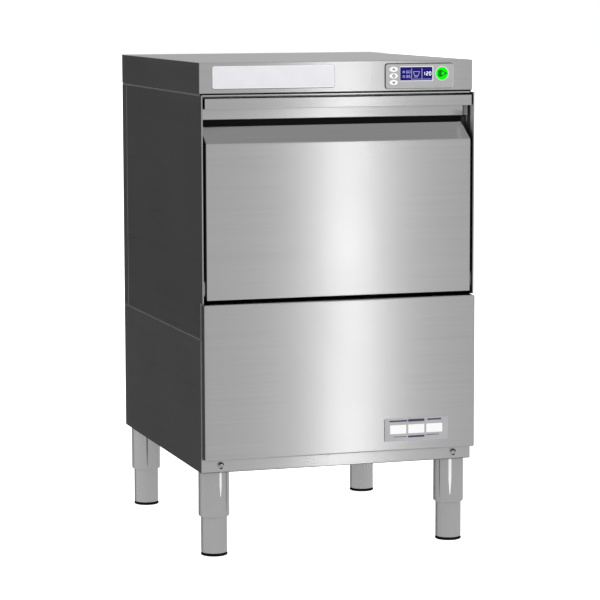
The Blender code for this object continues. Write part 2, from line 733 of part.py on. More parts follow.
def make_spray_arms():
    """Lower and upper wash and rinse arms on their fixed spindles."""
    make_arm("lower_wash_arm", 0.465, ARM_REACH, 0.017, 0.008, 0.019, 0.014)
    make_arm("lower_rinse_arm", 0.4815, ARM_REACH - 0.008, 0.009, 0.006, 0.015, 0.010)
    make_arm("upper_wash_arm", 0.750, ARM_REACH, 0.017, 0.008, 0.019, 0.014)
    make_arm("upper_rinse_arm", 0.7335, ARM_REACH - 0.008, 0.009, 0.006, 0.015, 0.010)
    neck, bore, cap = 0.0094, 0.0045, 0.0140
    lower = [(0, 0.4925), (cap - 0.003, 0.4920), (cap, 0.4895), (cap, 0.4875), (neck, 0.4870),
             (neck, 0.4565), (0.0120, 0.4560), (0.0120, 0.356), (bore, 0.356), (bore, 0.482),
             (0, 0.482)]
    turned("lower_arm_spindle", lower, ARM_PLASTIC, (0, ARM_Y, 0))
    upper = [(0, 0.733), (bore, 0.733), (bore, 0.7745), (neck, 0.7745), (neck, 0.7665),
             (neck, 0.7280), (cap, 0.7275), (cap, 0.7255), (cap - 0.003, 0.7230), (0, 0.7225)]
    turned("upper_arm_spindle", upper, ARM_PLASTIC, (0, ARM_Y, 0))
    feed_x, feed_y = 0.060, 0.246
    route = [(feed_x, feed_y, 0.310), (feed_x, feed_y, 0.800), (0, ARM_Y, 0.800),
             (0, ARM_Y, 0.776)]
    tube("upper_feed_pipe", bend(route, 0.022, 4), 0.010, RUBBER)


# ---------------------------------------------------------------- machine compartment
def make_compartment():
    """Wash pump, rinse boiler and the connections through the back."""
    pump = [(0, 0.075), (0.045, 0.072), (0.048, 0.066), (0.048, -0.045), (0.064, -0.050),
            (0.064, -0.082), (0.058, -0.088), (0.020, -0.090), (0.020, -0.115), (0, -0.115)]
    wash_pump = turned("wash_pump", pump, PUMP_PAINT, (-0.120, 0.020, 0.225),
                       (math.radians(-90), 0, 0))
    outlet = rod("pump_outlet", (-0.120, -0.046, 0.270), (-0.120, -0.046, 0.320), 0.014, None)
    boolean(wash_pump, outlet, "UNION")

    boiler = [(0, 0.330), (0.030, 0.328), (0.060, 0.318), (0.072, 0.302), (0.072, 0.188),
              (0.060, 0.172), (0.040, 0.166), (0.040, 0.158), (0, 0.158)]
    turned("rinse_boiler", boiler, INNER_STEEL, (0.130, 0.060, 0))

    spout = 0.024
    shapes = {
        "water_inlet": (BRASS, 0.0070, 0.0190, 0.032),
        "drain_outlet": (ARM_PLASTIC, 0.0090, 0.0165, 0.040),
        "cable_gland": (RUBBER, 0.0050, 0.0125, 0.010),
    }
    for x, radius, (name, shape) in zip(PORT_XS, PORT_RADII, shapes.items()):
        surface, bore, body, body_height = shape
        shoulder = spout + 2 * GAP + 0.0015
        profile = [(bore, 0), (radius, 0), (radius, -shoulder), (body, -shoulder),
                   (body, -shoulder - body_height), (bore, -shoulder - body_height)]
        turned(name, profile, surface, (x, PORT_Y, BASE_BOTTOM - spout), (math.pi, 0, 0), 16,
               closed=True)


make_hood()
make_badge()
make_side_panel("left_side_panel", -1)
make_side_panel("right_side_panel", 1)
make_rear_cover()
make_base()
make_front_panel()
make_screws()
make_legs()
make_controls()
make_door()
make_hinges()
make_chamber()
make_tank()
make_spray_arms()
make_compartment()
for item in PARTS.objects:
    if item.type == "MESH":
        smooth(item.data)
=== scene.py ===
import json
import math

import bmesh
import bpy
from mathutils import Matrix, Vector

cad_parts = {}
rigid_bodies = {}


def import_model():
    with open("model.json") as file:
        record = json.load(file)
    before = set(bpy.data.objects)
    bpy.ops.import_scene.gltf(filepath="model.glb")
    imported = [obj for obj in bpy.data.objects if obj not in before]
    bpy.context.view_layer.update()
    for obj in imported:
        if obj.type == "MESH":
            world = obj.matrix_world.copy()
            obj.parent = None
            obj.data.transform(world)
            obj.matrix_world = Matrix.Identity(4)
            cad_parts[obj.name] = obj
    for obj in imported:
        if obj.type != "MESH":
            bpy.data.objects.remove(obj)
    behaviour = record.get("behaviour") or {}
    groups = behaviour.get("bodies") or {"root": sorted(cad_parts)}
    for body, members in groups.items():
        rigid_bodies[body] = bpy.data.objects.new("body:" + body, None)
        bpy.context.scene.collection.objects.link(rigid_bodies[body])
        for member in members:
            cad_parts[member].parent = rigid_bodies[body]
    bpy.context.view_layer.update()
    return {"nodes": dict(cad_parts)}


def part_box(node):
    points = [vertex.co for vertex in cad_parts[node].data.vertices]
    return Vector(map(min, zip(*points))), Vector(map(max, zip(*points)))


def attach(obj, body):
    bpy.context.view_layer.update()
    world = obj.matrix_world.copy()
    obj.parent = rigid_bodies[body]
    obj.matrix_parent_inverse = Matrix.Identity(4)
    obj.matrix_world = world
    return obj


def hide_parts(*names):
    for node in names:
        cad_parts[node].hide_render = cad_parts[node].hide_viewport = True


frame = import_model()
CABINET = "cabinet"
DOOR = "door"
SIDES = ((-1, "left"), (1, "right"))
SHEET = 0.0012                       # thickness of the folded steel
EASED = 0.0003                       # bevel on a cut sheet edge
HAIR = 0.0001                        # smallest step between two surfaces
PRINT = 0.00016                      # thickness of a printed mark
SHARP_TURN = math.radians(32.0)      # edges that turn by more stay sharp


# ---- materials
def shader_tree(name):
    """Return a new material, its node tree and its Principled shader."""
    made = bpy.data.materials.new(name)
    made.use_nodes = True
    tree = made.node_tree
    return made, tree, tree.nodes["Principled BSDF"]


def add(tree, kind, inputs=None, **settings):
    """Add a shader node; inputs may be values or the sockets to link from."""
    node = tree.nodes.new(kind)
    for key, value in settings.items():
        setattr(node, key, value)
    for key, value in (inputs or {}).items():
        if isinstance(value, bpy.types.NodeSocket):
            tree.links.new(value, node.inputs[key])
        else:
            node.inputs[key].default_value = value
    return node


def noise(tree, vector, scale, detail=2.0, roughness=0.5):
    """A noise field of 0 to 1."""
    made = add(tree, "ShaderNodeTexNoise", {"Vector": vector, "Scale": scale, "Detail": detail,
                                            "Roughness": roughness})
    return made.outputs["Fac"]


def spread(tree, value, low, high, from_low=0.3, from_high=0.7):
    """Map a noise value onto a range."""
    made = add(tree, "ShaderNodeMapRange", {"Value": value, "From Min": from_low,
                                            "From Max": from_high, "To Min": low,
                                            "To Max": high})
    return made.outputs["Result"]


MIX_SOCKETS = {"RGBA": (6, 2), "VECTOR": (4, 1)}      # first input and output of a mix node


def mix(tree, kind, factor, first, second):
    """Mix two colours or vectors by a factor."""
    start, result = MIX_SOCKETS[kind]
    made = add(tree, "ShaderNodeMix", {0: factor, start: first, start + 1: second},
               data_type=kind)
    return made.outputs[result]


def maths(tree, operation, first, second):
    """One arithmetic node."""
    return add(tree, "ShaderNodeMath", {0: first, 1: second}, operation=operation).outputs[0]


def dress(tree, shader, colour, contrast, pattern, roughness, skin, relief, metallic):
    """Mottle a shader's colour by a pattern and give it a roughness and a fine skin."""
    dark, light = [(*(min(1.0, c * k) for c in colour), 1.0)
                   for k in (1 - contrast, 1 + contrast)]
    mottled = mix(tree, "RGBA", spread(tree, pattern, 0.0, 1.0), dark, light)
    bump = add(tree, "ShaderNodeBump", {"Strength": relief, "Distance": 0.0002, "Height": skin})
    for socket, value in (("Base Color", mottled), ("Roughness", roughness),
                          ("Normal", bump.outputs[0])):
        tree.links.new(value, shader.inputs[socket])
    shader.inputs["Metallic"].default_value = metallic


def stainless(name, colour, roughness, contrast=0.025, relief=0.02, along=6.0, across=900.0,
              metallic=1.0):
    """Brushed stainless: grain along X, turning along Y on faces that look sideways."""
    made, tree, shader = shader_tree(name)
    where = add(tree, "ShaderNodeTexCoord")
    facing = add(tree, "ShaderNodeSeparateXYZ", {0: where.outputs["Normal"]})
    sideways = maths(tree, "ABSOLUTE", facing.outputs[0], 0.0)
    sideways = maths(tree, "GREATER_THAN", sideways, 0.6)
    stretch = mix(tree, "VECTOR", sideways, (along, across, across), (across, along, across))
    grain_at = add(tree, "ShaderNodeVectorMath", {0: where.outputs["Object"], 1: stretch},
                   operation="MULTIPLY").outputs[0]
    fine = noise(tree, grain_at, 1.0, 3.0, 0.65)
    broad = noise(tree, grain_at, 0.16, 2.0)
    cloud = noise(tree, where.outputs["Object"], 5.0, 3.0)
    mixed = maths(tree, "MULTIPLY", maths(tree, "ADD", fine, broad), 0.5)
    smear = maths(tree, "ADD", spread(tree, cloud, -0.012, 0.012),
                  spread(tree, mixed, roughness - 0.012, roughness + 0.012))
    dress(tree, shader, colour, contrast, mixed, smear, fine, relief, metallic)
    return made


def moulded(name, colour, roughness, grain=2500.0, relief=0.06, contrast=0.05, metallic=0.0,
            specular=0.5):
    """Moulded plastic, rubber, paint or plain metal with a fine skin and soft mottling."""
    made, tree, shader = shader_tree(name)
    where = add(tree, "ShaderNodeTexCoord").outputs["Object"]
    skin = noise(tree, where, grain, 2.0)
    cloud = noise(tree, where, 35.0, 3.0)
    smear = spread(tree, cloud, roughness * 0.88, roughness * 1.12)
    dress(tree, shader, colour, contrast, cloud, smear, skin, relief, metallic)
    shader.inputs["Specular IOR Level"].default_value = specular
    return made


def light_up(material, glow, strength):
    """Let a material glow."""
    shader = material.node_tree.nodes["Principled BSDF"]
    shader.inputs["Emission Color"].default_value = (*glow, 1.0)
    shader.inputs["Emission Strength"].default_value = strength
    return material


def glowing(name, colour, glow, strength, roughness=0.3):
    """Plastic or glass lit from behind, a little uneven and hardly glossy."""
    return light_up(moulded(name, colour, roughness, relief=0.02, specular=0.06), glow, strength)


FRONT_STEEL = stainless("front_stainless", (0.60, 0.60, 0.602), 0.24, relief=0.002)
# Hood sides: a darker copy of the front steel, painted shade on the faces that look sideways.
HOOD_SIDE_STEEL_PAINTED_SHADE = stainless("hood_side_stainless", (0.58, 0.58, 0.585), 0.29)
# Upper side panels and rear cover: the steel a little darker, painted shade added to the dark
# the world gives them; lower housing: lighter, painted light.
SIDE_STEEL_PAINTED_SHADE = stainless("side_stainless", (0.54, 0.54, 0.545), 0.29)
LOWER_STEEL_PAINTED_LIGHT = stainless("lower_side_stainless", (0.62, 0.62, 0.625), 0.29)
INNER_STEEL = stainless("chamber_stainless", (0.62, 0.62, 0.63), 0.24, along=9.0)
LEG_STEEL = stainless("leg_stainless", (0.482, 0.482, 0.486), 0.27, along=260.0, across=40.0,
                      metallic=0.6)
# Rear legs: the leg steel made lighter, painted light that cancels the shade under the body.
REAR_LEG_STEEL_PAINTED_LIGHT = stainless("rear_leg_stainless_painted_light", (0.525, 0.525, 0.529), 0.27, along=260.0,
                           across=40.0, metallic=0.6)
# Dark line painted down the sleeves and along the base fold: painted shade.
PAINTED_SHADE_LINE = moulded("painted_shade_line", (0.16, 0.16, 0.17), 0.45, 900.0, 0.04, 0.06, metallic=0.8)
BRIGHT = moulded("bright_steel", (0.62, 0.62, 0.63), 0.22, 900.0, 0.04, 0.06, metallic=1.0)
BRASS = moulded("brass", (0.60, 0.44, 0.18), 0.30, 900.0, 0.06, 0.10, metallic=1.0)
BADGE = moulded("badge_silver", (0.81, 0.81, 0.845), 0.42, 1800.0, 0.03, 0.03, metallic=0.15)
BADGE_RIM = moulded("badge_rim", (0.88, 0.88, 0.90), 0.30, 1800.0, 0.02, 0.03, metallic=0.2)
# Black rubber of the door seal, feed pipe and gland; the strips on the door's edges and jambs
# use it as painted shade.
RUBBER_AND_GAP_SHADE = moulded("black_rubber", (0.012, 0.012, 0.013), 0.72, 1400.0, 0.30, 0.25)
# Near-black for the foot pads and for the strips that paint the shade in the gaps round the
# door.
PAD_RUBBER_AND_GAP_SHADE = moulded("pad_rubber_and_painted_gap_shade", (0.005, 0.005, 0.0055), 0.80, 1400.0, 0.20, 0.25, specular=0.10)
# Grey of the strips behind the casing joints, painting the thin light line along each joint.
SEAM_PAINTED_LIGHT_LINE = moulded("seam_painted_light_line", (0.11, 0.11, 0.112), 0.50, 1400.0, 0.04, 0.06)
# Light strip painted on the front sleeves: a painted highlight.
PAINTED_LEG_HIGHLIGHT = moulded("painted_leg_highlight", (0.86, 0.86, 0.86), 0.35, 1400.0, 0.03, 0.03)
JAMB_GREY = moulded("jamb_grey", (0.38, 0.38, 0.385), 0.50, 1400.0, 0.04, 0.06)
BEZEL = moulded("bezel_plastic", (0.51, 0.51, 0.512), 0.36, 1900.0, 0.08, metallic=0.6)
# Dark grey for the label's edge line and for painted shadows round the bezel, the name plate and
# in the ends of the lip.
DARK_LINE_AND_SHADE = moulded("dark_line_and_painted_shade", (0.08, 0.09, 0.09), 0.45, 1900.0, 0.04)
FRAME_WHITE = moulded("display_frame", (0.80, 0.80, 0.86), 0.35, 1900.0, 0.04)
DISPLAY = glowing("display_blue", (0.001, 0.001, 0.03), (0.03, 0.02, 0.26), 0.50, 0.25)
DISPLAY_LINE = glowing("display_line", (0.30, 0.30, 0.55), (0.30, 0.30, 0.70), 0.40)
DISPLAY_MARK = glowing("display_mark", (0.80, 0.80, 0.90), (0.80, 0.82, 1.00), 0.60)
KEY_WHITE = moulded("key_white", (0.96, 0.96, 0.96), 0.42, 2200.0, 0.05, 0.02)
KEY_MARK = moulded("key_mark", (0.02, 0.02, 0.03), 0.50, 2200.0, 0.05)
KEY_GREEN = glowing("key_green", (0.0, 0.50, 0.0), (0.0, 1.0, 0.0), 0.58)
# Darker green over the start key's left part: painted shade.
KEY_GREEN_PAINTED_SHADE = glowing("key_green_painted_shade", (0.0, 0.14, 0.0), (0.0, 1.0, 0.0), 0.12)
KEY_GREEN_MARK = moulded("key_green_mark", (0.00, 0.03, 0.00), 0.45, 2200.0, 0.05)
LABEL = moulded("label_foil", (0.44, 0.44, 0.45), 0.40, 1500.0, 0.05, 0.05, metallic=0.3)
LABEL_FIELD = moulded("label_field", (0.88, 0.88, 0.88), 0.50, 1500.0, 0.03, 0.02)
LABEL_INK = moulded("label_ink", (0.04, 0.04, 0.09), 0.55, 1500.0, 0.03, 0.10)
ARM_PLASTIC = moulded("arm_plastic", (0.045, 0.055, 0.065), 0.42, 1600.0, 0.12, 0.12)
PUMP_PAINT = moulded("pump_paint", (0.10, 0.11, 0.12), 0.48, 700.0, 0.20, 0.12)
BOARD = moulded("circuit_board", (0.02, 0.16, 0.07), 0.45, 800.0, 0.10, 0.25)


# ---- mesh tools
def middle(node, axes="xz"):
    """Centre of a CAD node's box along the named axes."""
    low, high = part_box(node)
    return [(getattr(low, axis) + getattr(high, axis)) / 2 for axis in axes]


def front_of(node):
    """Corners of a CAD node's box, and its centre X, centre Z, width and height."""
    low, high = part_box(node)
    return (low, high, *middle(node), high.x - low.x, high.z - low.z)


def link_object(name, data):
    """A new object in the scene."""
    made = bpy.data.objects.new(name, data)
    bpy.context.scene.collection.objects.link(made)
    return made


def from_bmesh(name, bm, surface):
    """Turn a bmesh into a linked object."""
    mesh = bpy.data.meshes.new(name)
    bm.to_mesh(mesh)
    bm.free()
    mesh.materials.append(surface)
    return link_object(name, mesh)


def cube(low, high):
    """A bmesh cube that spans two corners."""
    bm = bmesh.new()
    low, high = Vector(low), Vector(high)
    place = Matrix.Translation((low + high) / 2) @ Matrix.Diagonal((*(high - low), 1.0))
    bmesh.ops.create_cube(bm, size=1.0, matrix=place)
    return bm


def drop_faces(bm, *directions):
    """Delete the faces of a box that look along the given directions."""
    bm.normal_update()
    gone = {f for f in bm.faces for d in directions if f.normal.dot(Vector(d)) > 0.9}
    bmesh.ops.delete(bm, geom=list(gone), context="FACES")


def grow(bm, edges):
    """Extrude edges where they are and return the new vertices."""
    made = bmesh.ops.extrude_edge_only(bm, edges=edges)["geom"]
    return [g for g in made if isinstance(g, bmesh.types.BMVert)]


def open_rim(bm):
    """Edges that have a face on one side only."""
    return [e for e in bm.edges if e.is_boundary]


def bevel(obj, width, segments=3, angle=30.0):
    """Round the edges that turn by more than the angle."""
    made = obj.modifiers.new("round", "BEVEL")
    made.width = width
    made.segments = segments
    made.limit_method = "ANGLE"
    made.angle_limit = math.radians(angle)


def thicken(obj, thickness=SHEET, sharp_folds=False):
    """Give a folded sheet its thickness, inwards from the faces it was drawn with."""
    made = obj.modifiers.new("sheet", "SOLIDIFY")
    made.thickness = thickness
    made.offset = -1.0
    made.use_even_offset = True
    if sharp_folds:
        made.solidify_mode = "NON_MANIFOLD"
        made.nonmanifold_thickness_mode = "CONSTRAINTS"
        made.nonmanifold_merge_threshold = 1e-6


def frozen(obj):
    """A new mesh with the shape that an object's modifiers or curves give."""
    bpy.context.view_layer.update()
    graph = bpy.context.evaluated_depsgraph_get()
    return bpy.data.meshes.new_from_object(obj.evaluated_get(graph))


def apply_modifiers(obj):
    """Freeze an object's modifiers into its mesh."""
    mesh = frozen(obj)
    mesh.transform(obj.matrix_world)
    obj.modifiers.clear()
    obj.data = mesh
    obj.matrix_world = Matrix.Identity(4)


def cut(obj, tool):
    """Cut an object with a tool and drop the tool."""
    made = obj.modifiers.new("cut", "BOOLEAN")
    made.operation = "DIFFERENCE"
    made.object = tool
    made.solver = "EXACT"
    apply_modifiers(obj)
    bpy.data.objects.remove(tool, do_unlink=True)


def mount(obj, body, slot, *nodes):
    """Freeze and shade a piece, hang it on its body and hide the nodes it replaces; the slot is
    not used.
    """
    apply_modifiers(obj)
    obj.data.shade_smooth()
    obj.data.set_sharp_from_angle(angle=SHARP_TURN)
    obj.modifiers.new("weights", "WEIGHTED_NORMAL").keep_sharp = True
    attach(obj, body)
    if nodes:
        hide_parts(*nodes)


def block(name, low, high, surface, edge, segments=2):
    """A block with rounded edges."""
    made = from_bmesh(name, cube(low, high), surface)
    bevel(made, edge, segments)
    return made


def rod(name, start, end, radius, surface, segments=48):
    """A cylinder between two points."""
    start = Vector(start)
    axis = Vector(end) - start
    bm = bmesh.new()
    turn = axis.to_track_quat("Z", "Y").to_matrix().to_4x4()
    bmesh.ops.create_cone(bm, cap_ends=True, segments=segments, radius1=radius, radius2=radius,
                          depth=axis.length, matrix=Matrix.Translation(start + axis / 2) @ turn)
    return from_bmesh(name, bm, surface)


def cut_block(obj, low, high, edge=HAIR, segments=1):
    """Cut a block out of an object."""
    cut(obj, block("cut_block", low, high, obj.data.materials[0], edge, segments))


def cut_rod(obj, start, end, radius, segments=48):
    """Drill a hole through an object between two points."""
    cut(obj, rod("cut_rod", start, end, radius, obj.data.materials[0], segments))


def turned(name, profile, surface, place=Matrix.Identity(4), steps=48, closed=False):
    """Turn a profile of (radius, height) points about the local Z axis."""
    mesh = bpy.data.meshes.new(name)
    edges = [(i, i + 1) for i in range(len(profile) - 1)]
    if closed:
        edges.append((len(profile) - 1, 0))
    mesh.from_pydata([(r, 0.0, h) for r, h in profile], edges, [])
    mesh.materials.append(surface)
    made = link_object(name, mesh)
    made.matrix_world = place
    screw = made.modifiers.new("turn", "SCREW")
    screw.steps = steps
    screw.render_steps = steps
    screw.use_merge_vertices = True
    screw.merge_threshold = 1e-6
    return made


def outline_solid(name, outlines, thickness, surface, place=Matrix.Identity(4)):
    """Extrude flat outlines half the thickness to each side; inner outlines are holes."""
    curve = bpy.data.curves.new(name, "CURVE")
    curve.dimensions = "2D"
    curve.fill_mode = "BOTH"
    curve.extrude = thickness / 2
    for outline in outlines:
        spline = curve.splines.new("POLY")
        spline.points.add(len(outline) - 1)
        spline.use_cyclic_u = True
        for point, (x, y) in zip(spline.points, outline):
            point.co = (x, y, 0.0, 1.0)
    drawn = link_object(name + "_curve", curve)
    mesh = frozen(drawn)
    bpy.data.objects.remove(drawn, do_unlink=True)
    bm = bmesh.new()
    bm.from_mesh(mesh)
    bmesh.ops.remove_doubles(bm, verts=bm.verts, dist=1e-6)
    bmesh.ops.recalc_face_normals(bm, faces=bm.faces)
    bm.transform(place)
    bpy.data.meshes.remove(mesh)
    return from_bmesh(name, bm, surface)


def slab(name, outlines, bottom, top, surface):
    """Outlines in X and Y, extruded from one height to another."""
    place = Matrix.Translation((0, 0, (bottom + top) / 2))
    return outline_solid(name, outlines, top - bottom, surface, place)


def join(pieces, name):
    """Join meshes into one object."""
    bm = bmesh.new()
    for piece in pieces:
        bm.from_mesh(piece.data)
    surface = pieces[0].data.materials[0]
    for piece in pieces:
        bpy.data.objects.remove(piece, do_unlink=True)
    return from_bmesh(name, bm, surface)


def arc(x, y, rx, ry, start, end, steps):
    """Points along part of an ellipse, between two angles in degrees."""
    angles = [math.radians(start + (end - start) * i / steps) for i in range(steps + 1)]
    return [(x + rx * math.cos(a), y + ry * math.sin(a)) for a in angles]


def ellipse(x, y, rx, ry, steps=32):
    """Points round an ellipse."""
    return arc(x, y, rx, ry, 0, 360, steps)[:-1]


def rounded_rect(x, y, width, height, radius, steps=6):
    """Points round a rectangle about (x, y) with arcs at its corners."""
    points = []
    for quarter, (sx, sy) in enumerate(((1, 1), (-1, 1), (-1, -1), (1, -1))):
        points += arc(x + sx * (width / 2 - radius), y + sy * (height / 2 - radius), radius,
                      radius, 90 * quarter, 90 * (quarter + 1), steps)
    return points


def stroke(points, width, closed=False):
    """Outline of a line of the given width through the points, with mitred corners."""
    path = [Vector(p) for p in points]
    count = len(path)
    sides = ([], [])
    for i, here in enumerate(path):
        before = path[i - 1] if i or closed else None
        after = path[(i + 1) % count] if i + 1 < count or closed else None
        ways = [(here - before).normalized()] if before is not None else []
        ways += [(after - here).normalized()] if after is not None else []
        normals = [Vector((-w.y, w.x)) for w in ways]
        across = sum(normals, Vector((0, 0))).normalized()
        reach = width / 2 / max(0.3, across.dot(normals[0]))
        sides[0].append(tuple(here + across * reach))
        sides[1].append(tuple(here - across * reach))
    return [sides[0], sides[1]] if closed else [sides[0] + sides[1][::-1]]


ALONG_X = Matrix(((0, 0, 1, 0), (1, 0, 0, 0), (0, 1, 0, 0), (0, 0, 0, 1)))


def facing_front(y, x=0.0, z=0.0):
    """Local XY on world XZ, with local Z out of the front."""
    return Matrix.Translation((x, y, z)) @ Matrix.Rotation(math.radians(90), 4, "X")


def raised(name, outlines, back, rise, surface, slot, body=CABINET, edge=0.0, nodes=()):
    """A flat raised piece whose back is at depth back and whose face is rise in front."""
    made = outline_solid(name, outlines, rise, surface, facing_front(back - rise / 2))
    if edge:
        bevel(made, edge, 2, 50)
    mount(made, body, slot, *nodes)


def add_flange(bm, axis, level, reach, bottom_reach=None):
    """Fold the open rim of a box outwards, or inwards if negative, in its own plane."""
    verts = grow(bm, open_rim(bm))
    across = [i for i in range(3) if i != axis]
    middles = [(min(v.co[i] for v in verts) + max(v.co[i] for v in verts)) / 2 for i in across]
    for vert in verts:
        vert.co[axis] = level
        for i, centre in zip(across, middles):
            up = vert.co[i] > centre
            step = bottom_reach if bottom_reach is not None and i == 2 and not up else reach
            vert.co[i] += step if up else -step


# ---- casing
def shell(name, node, open_sides, radius, surface, sheet=SHEET, hem=0.0, trim=(0.0, 0.0)):
    """A folded sheet casing in place of a CAD node, open on the given sides.

    It can be trimmed equally at both ends along X, and at its front.
    """
    low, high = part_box(node)
    inset = Vector((trim[0], 0, 0))
    bm = cube(low + inset + Vector((0, trim[1], 0)), high - inset)
    drop_faces(bm, *open_sides)
    if hem:
        add_flange(bm, 2, low.z, -hem)
    made = from_bmesh(name, bm, surface)
    bevel(made, radius, 4)
    thicken(made, sheet)
    return made


def build_hood():
    """Top hood with its returned lower hem and the window behind the bezel, and the rail."""
    made = shell("hood_shell", "hood", [(0, 0, -1)], 0.0012, FRONT_STEEL, hem=0.009)
    # Faces that look along X take the darker copy of the steel: painted shade on the hood's
    # sides.
    made.data.materials.append(HOOD_SIDE_STEEL_PAINTED_SHADE)
    for face in made.data.polygons:
        face.material_index = int(abs(face.normal.x) > 0.9)
    low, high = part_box("control_board")
    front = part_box("hood")[0].y
    cut_block(made, (low.x - 0.0046, front - 0.005, low.z - 0.001),
              (high.x + 0.002, front + 0.005, high.z + 0.001), 0.0002)
    mount(made, CABINET, "front_steel", "hood")
    rail = block("rail_strip", *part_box("top_front_rail"), FRONT_STEEL, 0.0006, 3)
    mount(rail, CABINET, "front_steel", "top_front_rail")


def build_side(name, side):
    """Upper side panel: hemmed front edge, notched over the front panel."""
    low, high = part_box(name)
    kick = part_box("front_panel")[1]
    outer = low.x if side < 0 else high.x
    hem, hem_depth, hem_edge, fold, sheet = 0.0025, 0.012, 0.0006, 0.0007, 0.0018
    hem_x, flat_x = outer - side * hem, outer - side * sheet
    outline = arc(outer - side * fold, low.y + fold, side * fold, -fold, 0, 90, 4)
    outline += [(hem_x + side * hem_edge, low.y), (hem_x, low.y + hem_edge),
                (hem_x, low.y + hem_depth), (flat_x, low.y + hem_depth + 0.002),
                (flat_x, high.y), (outer, high.y)]
    # Darker steel: painted shade on the side panels.
    made = slab(name + "_sheet", [outline], low.z, high.z, SIDE_STEEL_PAINTED_SHADE)
    near, far = sorted((outer + side * 0.004, outer - side * 0.012))
    cut_block(made, (near, low.y - 0.01, low.z - 0.01), (far, kick.y + 0.0008, kick.z + 0.0012))
    break_edges(made, lambda co: abs(co.x - outer) < 1e-5, 0.0014,
                (lambda co: co.z > high.z - 1e-5, lambda co: co.y > high.y - 1e-5))
    bevel(made, EASED, 2, 50)
    mount(made, CABINET, "side_steel", name)


def break_edges(obj, on_face, width, on_edges):
    """Chamfer the edges of one outer face that also lie on one of the given planes."""
    bm = bmesh.new()
    bm.from_mesh(obj.data)
    chosen = [e for e in bm.edges if all(on_face(v.co) for v in e.verts)
              and any(all(test(v.co) for v in e.verts) for test in on_edges)]
    bmesh.ops.bevel(bm, geom=chosen, offset=width, segments=2, affect="EDGES", profile=0.5)
    bm.to_mesh(obj.data)
    bm.free()


def build_band(name, bottom, top):
    """Grey strip behind the joint between two casing sheets, round the sides and back; its tone
    paints the thin light line along the joint.
    """
    low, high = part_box("base_housing")
    recess, wall = 0.0006, 0.0015
    half, back, front = high.x - recess, high.y - recess, low.y + 0.002
    outline = [(-half, front), (-half, back), (half, back), (half, front),
               (half - wall, front), (half - wall, back - wall), (wall - half, back - wall),
               (wall - half, front)]
    mount(slab(name, [outline], bottom, top, SEAM_PAINTED_LIGHT_LINE), CABINET, "rubber")


def build_casing():
    """Rear cover, lower housing, base tray and front panel."""
    open_sides, fold, ledge = [(0, 0, 1), (0, 0, -1), (0, -1, 0)], 0.0024, 0.0014
    cover = shell("rear_cover_shell", "rear_cover", open_sides, fold, SIDE_STEEL_PAINTED_SHADE)
    bevel(cover, EASED, 2, 60)
    mount(cover, CABINET, "side_steel", "rear_cover")
    # Lighter steel: painted light on the lower housing.
    housing = shell("base_housing_shell", "base_housing", open_sides, fold, LOWER_STEEL_PAINTED_LIGHT)
    low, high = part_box("base_tray")
    cut_block(housing, (-0.25, low.y - 0.01, low.z - 0.01),
              (0.25, low.y + ledge + 0.0002, high.z + 0.0004))
    bevel(housing, 0.0002, 2, 60)
    mount(housing, CABINET, "side_steel", "base_housing")
    left, right = (end.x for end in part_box("base_housing"))
    lip = block("base_front_strip", (left + HAIR, low.y, low.z),
                (right - HAIR, low.y + ledge, high.z), FRONT_STEEL, 0.0005, 3)
    mount(lip, CABINET, "front_steel", "base_tray")
    # Dark line along the base fold: painted shade in the crease.
    line = block("base_fold_shade_line", (left + 0.0006, low.y - HAIR, low.z),
                 (right - 0.0006, low.y + 0.0004, low.z + 0.0011), PAINTED_SHADE_LINE, 0.00008, 1)
    mount(line, CABINET, "front_steel")
    build_band("casing_seam_strip", 0.364, 0.376)
    build_band("hood_seam_strip", 0.7680, 0.7777)

    tray = shell("base_tray_shell", "base_tray", [(0, 0, 1)], 0.0020, FRONT_STEEL, 0.0015,
                 trim=(0.0, ledge + 0.0003))
    port_hole, below, above = 0.0130, 0.13, 0.155
    for port in ("water_inlet", "drain_outlet", "cable_gland"):
        x, y = middle(port, "xy")
        cut_rod(tray, (x, y, below), (x, y, above), port_hole)
    mount(tray, CABINET, "front_steel", "base_tray")

    low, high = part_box("front_panel")
    made = shell("front_panel_shell", "front_panel", [(0, 1, 0)], 0.0030, FRONT_STEEL,
                 trim=(0.0007, 0.0))
    swing = 0.0035
    cut_block(made, (low.x + swing, low.y + 0.015, high.z - 0.005),
              (high.x - swing, high.y + 0.01, high.z + 0.005))
    bevel(made, EASED, 2, 60)
    mount(made, CABINET, "front_steel", "front_panel")


def build_screw(node):
    """Pan-head screw with a cross recess, with a painted shade arc above and a painted dark spot
    of shade below.
    """
    low, high, x, z, wide, _ = front_of(node)
    head, rise, rim, shank = wide / 2, 0.0036, 0.0008, 0.0020
    seat = low.y + rise
    profile = [(0, rise)]
    for step in range(1, 7):
        angle = math.radians(15 * step)
        profile.append((head * math.sin(angle) ** 0.9, rim + (rise - rim) * math.cos(angle)))
    profile += [(head, 0), (shank, 0), (shank, seat - high.y), (0, seat - high.y)]
    made = turned(node + "_head", profile, BRIGHT, facing_front(seat, x, z), 32)
    apply_modifiers(made)
    for half_x, half_z in ((0.0028, 0.00065), (0.00065, 0.0028)):
        cut_block(made, (x - half_x, low.y - 0.001, z - half_z),
                  (x + half_x, low.y + 0.0022, z + half_z))
    mount(made, CABINET, "bright_steel", node)
    # Painted shade: a dark arc over the head and a dark spot below it, in the mark material.
    shade = stroke(arc(x, z, head * 0.70, head * 0.80, 20, 170, 8), 0.0028)
    shade_spot = [rounded_rect(x, z - head * 0.90, 0.0042, 0.0022, 0.0008)]
    for suffix, outlines in (("_shade", shade), ("_nick", shade_spot)):
        raised(node + suffix, outlines, low.y + 0.0010, 0.0006, KEY_MARK, "bright_steel")


